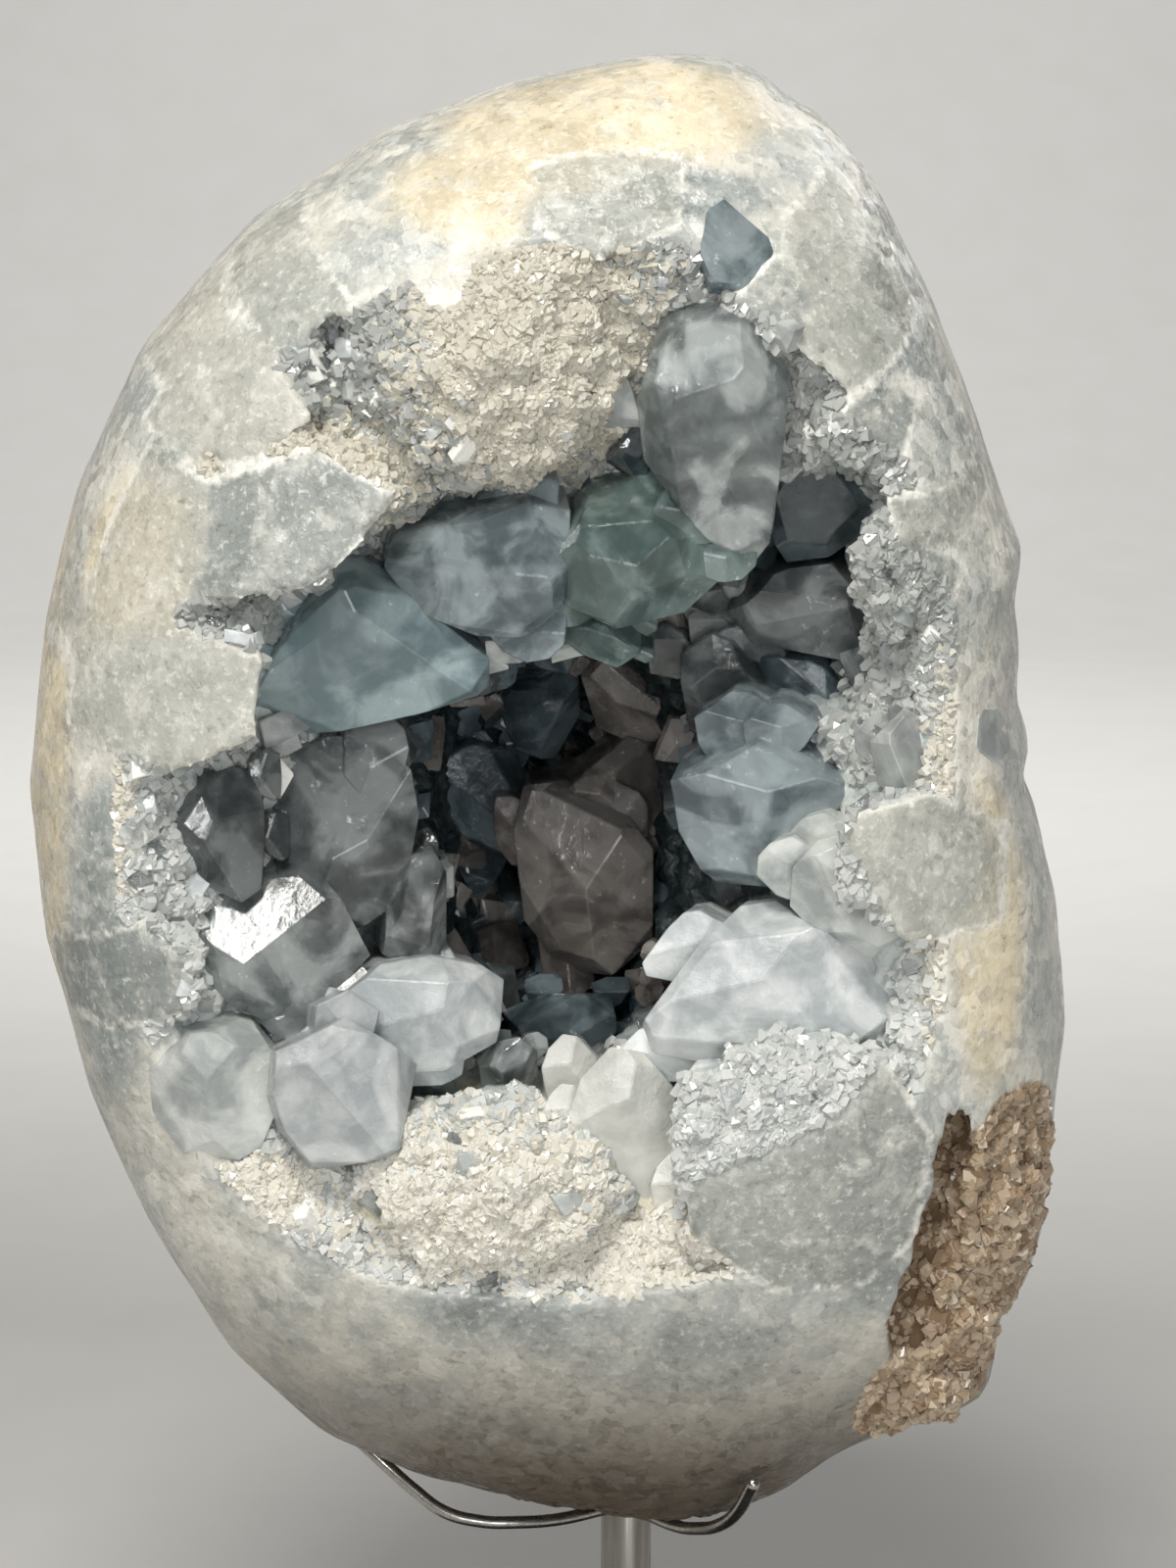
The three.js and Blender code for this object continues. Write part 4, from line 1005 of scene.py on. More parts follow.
# %% Places on the wall
wall = tree_of(stone)
CREAM_CUSHIONS = [(-17, 234, 24, 28), (-62, 212, 28, 11), (-27, 80, 26, 17), (5, 70, 30, 9),
                  (-98, 150, 9, 24), (60, 140, 8, 40), (-70, 80, 16, 9)]
SPARKLING = [(-58, 194, 16, 10), (23, 97, 18, 13), (56, 185, 12, 30), (-93, 130, 9, 30),
             (36, 236, 10, 14)]
ACROSS, UP = (-110, 80), (58, 268)  # the part of the front in which the hollow lies


def cushion_share(x, h, cushions):
    """How much of a cushion of sugar there is at a place seen from the front."""
    return max(math.exp(-((x - a) / c) ** 2 - ((h - b) / d) ** 2) for a, b, c, d in cushions)


def in_outline(x, h, outline):
    inside_it = False
    for (x0, h0), (x1, h1) in zip(outline, outline[1:] + outline[:1]):
        if (h0 > h) != (h1 > h) and x < x0 + (h - h0) * (x1 - x0) / (h1 - h0):
            inside_it = not inside_it
    return inside_it


def in_large_crystal(point, margin):
    return any(all((point - p).dot(n) < margin for p, n in planes) for _, _, planes in solids.values())


def before_large_crystal(x, y, h):
    return any(in_outline(x, h, outline) and y < front + SHOULDER
               for front, outline, _ in solids.values())


def wall_spot(random):
    """A random place on the wall as the front shows it: its point in millimetres and its normal."""
    while True:
        x, h = random.uniform(*ACROSS), random.uniform(*UP)
        hit, normal, _, _ = wall.ray_cast(Vector((x, IN_FRONT, h + LIFT)) * MM, BACKWARDS)
        if hit is not None and mouth_share(np.array([hit]))[0] < 1.03:
            return hit / MM, normal


def under_skin(point):
    """How far a point in millimetres lies behind the egg's surface, seen from the front."""
    hit = egg_tree.ray_cast(Vector((point.x, IN_FRONT, point.z)) * MM, BACKWARDS)[0]
    return -99 if hit is None else point.y - hit.y / MM


print("cream at the middle of a cushion:", round(cushion_share(-17, 234, CREAM_CUSHIONS), 2))

# %% [markdown]
# The sort of a small crystal follows from how deep it stands: dark and blue deep in the hollow, the
# dark ones as painted shade, and clear or frosted towards the rim. It is sunk in the wall to its
# shoulders, so that it looks grown there.

# %% Small crystals
SMALL_CRYSTALS = 420
RIM_DEPTH = -42  # in front of this depth, crystals are smaller
# the deep blue and smoky sorts deep in the hollow are darker copies that paint its shade
KINDS_BY_DEPTH = [(-22, ["deep", "brown", "deep", "shaded_smoke"]), (-40, ["shaded_smoke", "deep", "blue", "clear"]),
                  (-99, ["ice", "ice", "pale", "frost", "clear"])]


def small_crystals(count, random):
    """Spots for small crystals, by their kind."""
    chosen = {}
    tries = 0
    while count and tries < 20000:
        tries += 1
        point, normal = wall_spot(random)
        width = 3 + 8 * random.uniform(0, 1) ** 1.5 if point.y > RIM_DEPTH else random.uniform(2, 5.5)
        length = width * random.uniform(0.1, 0.45)
        growth = (normal + Vector((0, -0.5, 0)) + 0.4 * Vector(random.uniform(-1, 1, 3))).normalized()
        tip = point + growth * length
        if in_large_crystal(tip, 0.5) or in_large_crystal(point, -2) or under_skin(tip) < 0.5:
            continue
        if before_large_crystal(tip.x, tip.y, tip.z - LIFT):
            continue
        if cushion_share(point.x, point.z - LIFT, CREAM_CUSHIONS) > random.uniform(0.1, 0.8):
            continue
        kind = random.choice(next(kinds for depth, kinds in KINDS_BY_DEPTH if point.y > depth))
        which = int(random.integers(len(prisms)))
        chosen.setdefault(str(kind), []).append(
            (which, point * MM, growth, random.uniform(0, math.pi), width * MM, length * MM,
             random.uniform(0, 1)))
        count -= 1
    return chosen


for kind, spots in small_crystals(SMALL_CRYSTALS, random).items():
    small = scatter("small_" + kind, prisms, spots)
    by_kind.setdefault(kind, []).append(small)
print({kind: len(parts) for kind, parts in by_kind.items()}, "meshes of each kind")

# %% [markdown]
# Sugar is what celestite looks like where thousands of crystals started at once and none had room: a
# crust of grains. Real ones go down to a tenth of a millimetre, but these are one or two millimetres
# wide, because finer ones wouldn't show. They lie close on the cushions and sparse between them.

# %% Sugar
SUGAR_GRAINS = 16800


def sugar(count, random):
    """Spots for grains, cream on the cushions and the colour of ice elsewhere."""
    chosen = {"cream": [], "ice": []}
    tries = 0
    while count and tries < 120000:
        tries += 1
        point, normal = wall_spot(random)
        cream = cushion_share(point.x, point.z - LIFT, CREAM_CUSHIONS)
        clear = cushion_share(point.x, point.z - LIFT, SPARKLING)
        if random.uniform(0, 1) > 0.25 + max(cream, 0.8 * clear) or under_skin(point) < 1:
            continue
        if in_large_crystal(point, -0.3) or point.y > random.uniform(-45, -25):
            continue
        size = random.uniform(0.9, 1.9) if cream > 0.4 else random.uniform(0.9, 2.4)
        growth = (0.6 * normal + 0.9 * Vector(random.uniform(-1, 1, 3))).normalized()
        kind = "cream" if random.uniform(0.2, 0.6) < cream else "ice"
        which = int(random.integers(len(grains)))
        chosen[kind].append((which, point * MM, growth, random.uniform(0, math.pi), size * MM,
                             size * random.uniform(0.8, 1.5) * MM, random.uniform(0, 1)))
        count -= 1
    return chosen


sugar_spots = sugar(SUGAR_GRAINS, random)
print("sugar grains:", len(sugar_spots["cream"]), "cream,", len(sugar_spots["ice"]), "ice")

# %% [markdown]
# The broken matrix is limestone, rough with grit of a millimetre or two that iron has stained. Its
# grains are set on points of the stone's own mesh that belong to the matrix, each sunk in it by a
# little more than half.

# %% Grit on the broken matrix
GRIT_GRAINS, GRIT_SIZES = 2600, (0.8, 2.6)
grit = []
rough_points = np.nonzero(matrix > 0.55)[0]
for index in random.choice(rough_points, GRIT_GRAINS):
    vertex = stone.data.vertices[int(index)]
    size = random.uniform(*GRIT_SIZES) * MM
    growth = (vertex.normal + Vector(random.uniform(-1, 1, 3))).normalized()
    grit.append((int(random.integers(len(grains))), vertex.co - 0.2 * size * vertex.normal, growth,
                 random.uniform(0, math.pi), size, size, random.uniform(0, 1)))
print("grains of grit:", len(grit), "on", len(rough_points), "points of the matrix")

# %% [markdown]
# The grains become three pieces, as sugar and grit differ in finish. Crystals of one kind share a
# finish, so they are joined in one piece for each kind.

# %% One piece for each finish
cream_sugar = scatter("cream_sugar", grains, sugar_spots["cream"])
matrix_grit = scatter("matrix_grit", grains, grit)
ice_sugar = scatter("ice_sugar", grains, sugar_spots["ice"])
crystal_pieces = {kind: join(parts, kind + "_crystals") for kind, parts in by_kind.items()}
for piece in [cream_sugar, matrix_grit, ice_sugar, *crystal_pieces.values()]:
    print(piece.name, len(piece.data.polygons), "faces")

# %% [markdown]
# ## The stand
# The cradle is stainless wire 2.6 mm thick, bent by hand and brazed to a 10 mm rod. A wire is a curve
# with a round section, which becomes a mesh once its bends are right, and a ball rounds its tip. Each
# route runs from the rod outwards, across, back and up from the stone's foot.

# %% Wires of the cradle
WIRE_RADIUS = 1.3
ARMS = {
    "arm_front_left": [
        (-4.4, -3.2, 0.6), (-13.4, -8, 0.3), (-21, -11, 0.8), (-29, -12.5, 1.6), (-36, -12.5, 3.6),
        (-42, -11, 7.6), (-48, -9, 12.4), (-54, -6, 17)],
    "arm_front_right": [
        (4.4, -3.2, -0.6), (10, -10, -0.4), (13.5, -16, 1.4), (18, -28, 6.8), (21, -37, 13),
        (23.4, -45, 21.2)],
    "arm_back_left": [(-4.4, 3.2, -0.5), (-15, 13, -0.6), (-25, 24, 4), (-34, 36, 13), (-40, 46, 23)],
    "arm_back_right": [
        (4.4, 3.2, -1.5), (16, 10, -2.6), (26, 14, -1.4), (33, 17, 2), (41, 20, 8.6), (48, 22.5, 14.8),
        (53, 24, 20.5)],
}


def bent_wire(name, route):
    bpy.ops.object.select_all(action="DESELECT")
    bpy.ops.curve.primitive_nurbs_path_add()
    wire = bpy.context.object
    wire.name = name
    curve = wire.data
    curve.splines.clear()
    spline = curve.splines.new("BEZIER")
    spline.bezier_points.add(len(route) - 1)
    for point, (x, y, h) in zip(spline.bezier_points, route):
        point.co = Vector((x, y, h + LIFT)) * MM
        point.handle_left_type = point.handle_right_type = "AUTO"
    curve.dimensions = "3D"
    curve.bevel_depth = WIRE_RADIUS * MM
    curve.bevel_resolution = 5
    curve.resolution_u = 8
    curve.use_fill_caps = True
    bpy.ops.object.convert(target="MESH")
    x, y, h = route[-1]
    bpy.ops.mesh.primitive_uv_sphere_add(segments=16, ring_count=10, radius=WIRE_RADIUS * MM,
                                         location=Vector((x, y, h + LIFT)) * MM)
    tip = bpy.context.object
    bpy.ops.object.transform_apply(location=True)
    made = join([wire, tip], name)
    bpy.ops.object.shade_smooth()
    return made


wires = {name: bent_wire("wire_" + name[4:], route) for name, route in ARMS.items()}
print("wires:", list(wires))

# %% [markdown]
# The rod and the foot were turned on a lathe: both are cylinders whose sharp edges a bevel breaks, a
# fine one on the rod and a broader one on the foot, which hands pick up.

# %% Post and foot
POST_RADIUS = 5
FOOT_RADIUS, FOOT_THICKNESS = 75, 12


def turned_cylinder(name, radius, low, high, corners, edge, steps):
    """A cylinder between two heights, all in millimetres, with its edges broken."""
    low, high = low * MM, high * MM
    bpy.ops.object.select_all(action="DESELECT")
    bpy.ops.mesh.primitive_cylinder_add(vertices=corners, radius=radius * MM, depth=high - low,
                                        location=(0, 0, (high + low) / 2))
    made = bpy.context.object
    made.name = name
    bpy.ops.object.transform_apply(location=True)
    modify(made, "BEVEL", width=edge * MM, segments=steps, limit_method="ANGLE")
    bpy.ops.object.shade_smooth_by_angle(angle=math.radians(35))
    return made


post_rod = turned_cylinder("post_rod", POST_RADIUS, FOOT_THICKNESS, LIFT + 0.5, 64, 0.6, 3)
foot_disc = turned_cylinder("foot_disc", FOOT_RADIUS, 0, FOOT_THICKNESS, 128, 1.5, 4)
print("rod and foot:", [[round(v / MM, 1) for v in made.dimensions] for made in (post_rod, foot_disc)])

# %% [markdown]
# ## Finishes of the stone
# The ground skin is a mosaic of grains a few millimetres wide, milky white to blue-grey, cream where
# iron stains it, and darkened to brown towards its foot as painted shade. How cream, pale or glassy it
# is, is kept for each point as a number from 0 to 1, which falls off round the middles of a few
# squashed balls. Painting these weights by hand would work too, but a list of balls is quicker to
# change.

# %% Cream, pale and glassy places
ZONES = {
    "cream": [(-5, -35, 276, 34, 24, 13), (-22, -46, 262, 22, 20, 11), (-86, -50, 195, 15, 16, 18),
              (-108, -25, 160, 10, 30, 50), (65, -52, 128, 8, 14, 30), (10, 60, 230, 50, 45, 40),
              (-60, 60, 100, 35, 45, 50)],
    "pale": [(-57, -62, 199, 24, 16, 16), (-82, -54, 172, 16, 16, 14), (33, -60, 87, 24, 16, 26),
             (52, -56, 143, 14, 14, 14), (-5, -52, 252, 16, 12, 10), (38, -46, 240, 14, 14, 18),
             (-72, -48, 221, 20, 16, 14), (-88, -54, 122, 12, 14, 14), (-61, -50, 243, 12, 12, 10),
             (-71, -50, 230, 16, 12, 12), (-16, -60, 62, 30, 14, 12), (10, -60, 50, 20, 12, 10)],
    "glassy": [(-5, -54, 256, 13, 12, 6), (12, -50, 261, 16, 12, 5), (-27, -60, 60, 14, 12, 5),
               (45, -57, 80, 10, 16, 22), (45, -45, 238, 7, 16, 18),
               (-66, -52, 216, 16, 12, 6), (-97, -50, 118, 8, 16, 30), (-92, -57, 148, 9, 12, 11),
               (-40, 76, 175, 40, 30, 30), (50, 50, 120, 30, 40, 50)],
}
for name, spots in ZONES.items():
    mark(stone, name, np.max([near_ball(places, spot) for spot in spots], axis=0) * (1 - matrix))
mark(stone, "in_hollow", inside)
mark(stone, "on_matrix", matrix)
mark(stone, "hollow_depth", np.where(inside > 0.3, ramp(-50, 12, places[:, 1] / MM), 0))
mark(stone, "crack", ramp(1.5, 5, depth_under_skin(places)) * (1 - inside))
cushions = [near_ball(places, (x, -45, h, a, 40, b)) for x, h, a, b in CREAM_CUSHIONS]
mark(stone, "sugared", np.max(cushions, axis=0) * inside)
print("cream at", int((near_ball(places, ZONES["cream"][0]) > 0.5).sum()), "points of the crown")

# %% [markdown]
# The slabs are found again by their own sides, so that each has one tone, with a light line where it
# meets its neighbour. A point's depth in a slab is its distance from the nearest side, and is below 0
# outside it. Where two slabs meet, the one in which a point lies deeper has it.

# %% Find the slabs again
SLAB_DEPTH = 22  # the paint of a slab ends this many millimetres behind its shoulder
LINE_WIDTH = 1.1


def inward(places, outline, peak, front):
    """How far each point lies inside the prism that a slab was cut as, in millimetres."""
    behind = places[:, 1] / MM - front - SHOULDER
    lean = SPREAD * (np.array(peak) - HOLLOW_CENTRE)
    x = places[:, 0] / MM - behind * lean[0]
    z = places[:, 2] / MM - LIFT - behind * lean[1]
    corners = np.array(outline, float)
    middle = corners.mean(axis=0)
    deepest = np.full(len(places), 99.0)
    for corner, following in zip(corners, np.roll(corners, -1, axis=0)):
        along = (following - corner) / np.hypot(*(following - corner))
        side = along[0] * (middle[1] - corner[1]) - along[1] * (middle[0] - corner[0])
        signed = along[0] * (z - corner[1]) - along[1] * (x - corner[0])
        deepest = np.minimum(deepest, np.sign(side) * signed)
    return np.minimum(deepest, SLAB_DEPTH - behind)


slab_depth = np.full(len(places), -9.0)
slab_tone = np.zeros(len(places))
for _, tone, front, peak, _, outline, _ in SLABS:
    signed = inward(places, outline, peak, front)
    slab_tone = np.where(signed > slab_depth, tone, slab_tone)
    slab_depth = np.maximum(slab_depth, signed)
mark(stone, "slab", ramp(-0.6, 0.6, slab_depth))
mark(stone, "slab_edge", np.exp(-((slab_depth / LINE_WIDTH) ** 2)))
mark(stone, "slab_tone", slab_tone)
print("points in slabs:", int((slab_depth > 0).sum()))

# %% [markdown]
# Two patterns are needed again and again. In a mosaic, each grain is a flat that tilts its own way,
# which makes the gloss break up as it does on polished crystal. A ragged edge is what a patch has where
# it ends between grains: noise is added to its weight before the weight is cut off.

# %% A mosaic and a ragged edge


def crystal_mosaic(tree, coords, size, tilt):
    """Grains a size in millimetres across, as a height that tilts each its own way and a tone."""
    cells = add(tree, "TexVoronoi", {"Vector": coords, "Scale": 1 / (size * MM)})
    way = add(tree, "VectorMath", {0: cells.outputs["Color"], 1: (0.5, 0.5, 0.5)},
              operation="SUBTRACT")
    out = add(tree, "VectorMath", {0: coords, 1: cells.outputs["Position"]}, operation="SUBTRACT")
    slope = add(tree, "VectorMath", {0: way, 1: out}, operation="DOT_PRODUCT")
    return add(tree, "Math", {0: slope, 1: tilt}, operation="MULTIPLY"), cells.outputs["Color"]


def ragged(tree, share, grain, low, high):
    """A soft share broken up by a noise, so that its edge follows the grain."""
    rough = add(tree, "Math", {0: grain, 1: 0.9, 2: share}, operation="MULTIPLY_ADD")
    return add(tree, "MapRange", {"Value": rough, "From Min": low, "From Max": high},
               interpolation_type="SMOOTHSTEP")


# %% [markdown]
# The rock is celestite and limestone grown through each other, ground and polished. Its patterns have
# the sizes of real ones: clouds of milk 22 mm wide, crystals of 4.5 mm and 2.2 mm cut through, grain of
# 6 mm, and a crumb. The crumb of such rock is under half a millimetre, but it wouldn't show, so it is
# drawn at 1.6 mm. A slow wobble keeps the crystals' edges from running straight.

# %% Patterns of the rock
material, tree, coords = new_material("ground_celestite_rock")
wobble = add(tree, "TexNoise", {"Vector": coords, "Scale": 1 / (9 * MM), "Detail": 4.0})
centred = add(tree, "VectorMath", {0: wobble.outputs["Color"], 1: (0.5, 0.5, 0.5)},
              operation="SUBTRACT")
pushed = add(tree, "VectorMath", {0: centred, "Scale": 7 * MM}, operation="SCALE")
loose = add(tree, "VectorMath", {0: coords, 1: pushed}, operation="ADD")
clouds, grain, fine = (
    add(tree, "TexNoise", {"Vector": at, "Scale": 1 / (size * MM), "Detail": 5.0, "Roughness": rough})
    for at, size, rough in ((loose, 22, 0.6), (loose, 6, 0.65), (coords, 1.6, 0.7)))
big_tilt, big_tone = crystal_mosaic(tree, loose, 4.5, 0.35)
small_tilt, small_tone = crystal_mosaic(tree, loose, 2.2, 0.4)
milky = add(tree, "MapRange", {"Value": clouds, "From Min": 0.4, "From Max": 0.6},
            interpolation_type="SMOOTHSTEP")
print("the rock has", len(tree.nodes), "nodes so far")

# %% [markdown]
# The paint is laid on in layers, as on a model: each is a share from 0 to 1 and a colour, and the list
# goes from the lowest to the top one. The polished skin begins with single crystals that are lighter
# or clearer than the rest, and the cream, pale and glassy places, each in two tones. Then come the
# slabs, their light edges, frost, white flecks in the grain that are partly painted glints, and the
# painted shade of dark brown towards the foot.

# %% Layers of the polished skin
light_ones = add(tree, "MapRange", {"Value": big_tone, "From Min": 0.5, "From Max": 0.8, "To Max": 0.4})
clear_ones = add(tree, "MapRange", {"Value": small_tone, "From Min": 0.38, "From Max": 0.2,
                                    "To Max": 0.35})
layers = [(light_ones, linear("#EDEAE0")), (clear_ones, linear("#A6A9A4"))]
for zone, low, high, light, dark in (("cream", 0.55, 1.25, "#EADDBF", "#D3C7AA"),
                                     ("pale", 0.5, 1.25, "#BDC0BA", "#A1A6A2"),
                                     ("glassy", 0.55, 1.3, "#A0A6A3", "#868D8B")):
    share = ragged(tree, add(tree, "Attribute", attribute_name=zone), grain, low, high)
    tones = add(tree, "Mix", {"Factor": milky, "A": linear(light), "B": linear(dark)}, data_type="RGBA")
    layers.append((share, tones))

slab_at = add(tree, "Attribute", attribute_name="slab")
in_slab = add(tree, "Math", {0: slab_at, 1: 0.7}, operation="MULTIPLY")
slab_tones = add(tree, "Mix", {"Factor": add(tree, "Attribute", attribute_name="slab_tone"),
                               "A": linear("#747D7C"), "B": linear("#D9D4C4")}, data_type="RGBA")
slab_edges = ragged(tree, add(tree, "Attribute", attribute_name="slab_edge"), fine, 0.9, 1.6)
frosty = add(tree, "MapRange", {"Value": grain, "From Min": 0.5, "From Max": 0.66, "To Max": 0.5})
# white flecks in the grain, partly real and partly painted glints
white_flecks_and_glints = add(tree, "MapRange", {"Value": fine, "From Min": 0.55, "From Max": 0.68, "To Max": 0.6})
height = add(tree, "SeparateXYZ", {"Vector": loose}).outputs["Z"]
# painted shade: the skin turns dark brown towards the foot, where the stone's underside is in shade
painted_underside_shade = add(tree, "MapRange", {"Value": height, "From Min": (LIFT + 74) * MM,
                                  "From Max": (LIFT + 12) * MM, "To Max": 0.95},
               interpolation_type="SMOOTHSTEP")
underside_shade_tones = add(tree, "Mix", {"Factor": grain, "A": linear("#41342A"), "B": linear("#6B5E4E")},
                 data_type="RGBA")
layers += [(in_slab, slab_tones), (slab_edges, linear("#ECEAE0")), (frosty, linear("#E3E1D7")),
           (white_flecks_and_glints, linear("#F4F2EA")), (painted_underside_shade, underside_shade_tones)]
print(len(layers), "layers on the skin")

# %% [markdown]
# The wall of the hollow is ice-grey celestite that no wheel has touched. It darkens with depth, as
# little light finds its way out again, and its cushions are cream with sugar, so that the gaps between
# the grains that lie on them have the grains' own colour.

# %% The hollow's wall
inside_at = add(tree, "Attribute", attribute_name="in_hollow")
depth_at = add(tree, "Attribute", attribute_name="hollow_depth")
dark = add(tree, "MapRange", {"Value": depth_at, "From Min": 0.08, "From Max": 0.5})
sugared = ragged(tree, add(tree, "Attribute", attribute_name="sugared"), grain, 0.7, 1.0)
ice = add(tree, "Mix", {"Factor": big_tone, "A": linear("#AEB8B8"), "B": linear("#DCDFD8")},
          data_type="RGBA")
for share, tone in ((dark, "#1F2B2E"), (sugared, "#EEE7D0")):
    ice = add(tree, "Mix", {"Factor": share, "A": ice, "B": linear(tone)}, data_type="RGBA")
layers.append((inside_at, ice))
print(len(layers), "layers with the hollow")

# %% [markdown]
# The matrix is sandy limestone that was broken, not ground, with dark earth in its pits, and the same
# earth has washed into the crack at its edge.

# %% The broken matrix
crumb = add(tree, "MapRange", {"Value": fine, "From Min": 0.38, "From Max": 0.6})
sandy = add(tree, "Mix", {"Factor": crumb, "A": linear("#6E5B49"), "B": linear("#CDB89B")},
            data_type="RGBA")
broken = ragged(tree, add(tree, "Attribute", attribute_name="on_matrix"), grain, 0.6, 0.85)
cracked = ragged(tree, add(tree, "Attribute", attribute_name="crack"), grain, 0.6, 0.9)
layers += [(broken, sandy), (cracked, linear("#7C644B"))]
pits = add(tree, "MapRange", {"Value": fine, "From Min": 0.42, "From Max": 0.3, "To Max": 0.5})
print(len(layers), "layers in all")

# %% [markdown]
# The ground coat goes from milk to ice with the clouds. Every layer is mixed over what lies under it,
# and the pits are multiplied in last, because a pit darkens whatever colour it is in. Gloss comes from
# the wheel: each small crystal took its own polish, and the broken matrix took none. The relief is the
# tilt of the grains, so it is mostly seen where a lamp is mirrored, and it is softer on the skin.

# %% Lay the paint, then gloss and relief
colour = add(tree, "Mix", {"Factor": milky, "A": linear("#DEDACD"), "B": linear("#B4B8B3")},
             data_type="RGBA")
for share, tone in layers:
    colour = add(tree, "Mix", {"Factor": share, "A": colour, "B": tone}, data_type="RGBA")
colour = add(tree, "Mix", {"Factor": pits, "A": colour, "B": linear("#8A8378")}, data_type="RGBA",
             blend_type="MULTIPLY")

polish = add(tree, "MapRange", {"Value": small_tone, "From Min": 0.2, "From Max": 0.7, "To Min": 0.15,
                                "To Max": 0.5})
dull = add(tree, "Math", {0: broken, 1: 0.85}, operation="MULTIPLY")
rough = add(tree, "Math", {0: polish, 1: dull}, operation="MAXIMUM")
uneven = add(tree, "Math", {0: fine, 1: 0.4 * MM}, operation="MULTIPLY")
tilts = add(tree, "Math", {0: big_tilt, 1: small_tilt}, operation="ADD")
relief = add(tree, "Math", {0: tilts, 1: uneven}, operation="ADD")
strength = add(tree, "MapRange", {"Value": inside_at, "To Min": 0.6, "To Max": 1.0})
bump = add(tree, "Bump", {"Height": relief, "Strength": strength, "Distance": 1.0})
shade(tree, {"Base Color": colour, "Roughness": rough, "Normal": bump, "IOR": 1.6})
stone.data.materials.clear()
stone.data.materials.append(material)
print(material.name, "has", len(tree.nodes), "nodes")

# %% [markdown]
# ## Finish of the crystals
# Celestite is a little heavier on the light than glass, with an index of 1.62. A clear crystal is
# nearly all transmission, with a faint colour that comes from its depth, which Volume Absorption
# gives. A frosted one has a skin of fine growth that scatters, and a cloudy one holds milky veils.
# One function makes them all, from a colour, the colour of its milk, the share of light that goes
# through, its roughness, the colour and strength of what it absorbs, and the height of its frost.

# %% Celestite
CELESTITE_IOR = 1.62


def celestite(name, body, milk, clear, roughness, absorbed, density, frost_height=0.05):
    material, tree, coords = new_material(name)
    # clouds 14 mm wide and veils 5 mm wide lie in it; the frost on it is finer than the 2.2 mm that
    # it is drawn at, and so are the growth lines at 1.4 mm, because they wouldn't show
    wash = add(tree, "TexNoise", {"Vector": coords, "Scale": 1 / (14 * MM), "Detail": 4.0,
                                  "Distortion": 0.8})
    veils = add(tree, "TexNoise", {"Vector": coords, "Scale": 1 / (5 * MM), "Detail": 5.0,
                                   "Distortion": 0.4})
    frost = add(tree, "TexNoise", {"Vector": coords, "Scale": 1 / (2.2 * MM), "Detail": 6.0,
                                   "Roughness": 0.7})
    streaks = add(tree, "Mapping", {"Vector": coords, "Rotation": (0.3, 0.2, 0.5),
                                    "Scale": (1, 0.1, 1)})
    lines = add(tree, "TexNoise", {"Vector": streaks, "Scale": 1 / (1.4 * MM), "Detail": 3.0})

    milky = add(tree, "MapRange", {"Value": wash, "From Min": 0.42, "From Max": 0.62},
                interpolation_type="SMOOTHSTEP")
    veiled = add(tree, "MapRange", {"Value": veils, "From Min": 0.45, "From Max": 0.66, "To Max": 0.55})
    specks = add(tree, "MapRange", {"Value": frost, "From Min": 0.6, "From Max": 0.72, "To Max": 0.8})
    flecked = add(tree, "Math", {0: milky, 1: specks}, operation="MULTIPLY")
    # the tone scales the colour: at random, and on the large crystals also as a painted glow towards
    # the foot
    tone = add(tree, "Attribute", attribute_name="tone")
    lifted = add(tree, "MapRange", {"Value": tone, "To Min": 0.75, "To Max": 1.25})

    colour = add(tree, "Mix", {"Factor": milky, "A": linear(body), "B": linear(milk)}, data_type="RGBA")
    colour = add(tree, "Mix", {"Factor": veiled, "A": colour, "B": linear(milk)}, data_type="RGBA")
    colour = add(tree, "VectorMath", {0: colour, "Scale": lifted}, operation="SCALE")
    colour = add(tree, "Mix", {"Factor": flecked, "A": colour, "B": linear("#DDE2E0")},
                 data_type="RGBA")
    through = add(tree, "MapRange", {"Value": milky, "To Min": clear, "To Max": clear * 0.6})
    through = add(tree, "Math", {0: flecked, 1: -0.4, 2: through}, operation="MULTIPLY_ADD")
    through = add(tree, "Math", {0: veiled, 1: -0.22, 2: through}, operation="MULTIPLY_ADD",
                  use_clamp=True)
    dull = add(tree, "MapRange", {"Value": frost, "From Min": 0.4, "From Max": 0.75,
                                  "To Min": roughness, "To Max": roughness + 0.15})
    facets, _ = crystal_mosaic(tree, coords, 11, 0.06)
    grown = add(tree, "Math", {0: lines, 1: 0.07 * MM, 2: facets}, operation="MULTIPLY_ADD")
    relief = add(tree, "Math", {0: frost, 1: frost_height * MM, 2: grown}, operation="MULTIPLY_ADD")
    bump = add(tree, "Bump", {"Height": relief, "Strength": 0.8, "Distance": 1.0})
    volume = add(tree, "VolumeAbsorption", {"Color": linear(absorbed), "Density": density})
    shade(tree, {"Base Color": colour, "Roughness": dull, "Normal": bump, "IOR": CELESTITE_IOR,
                 "Transmission Weight": through}, volume)
    return material
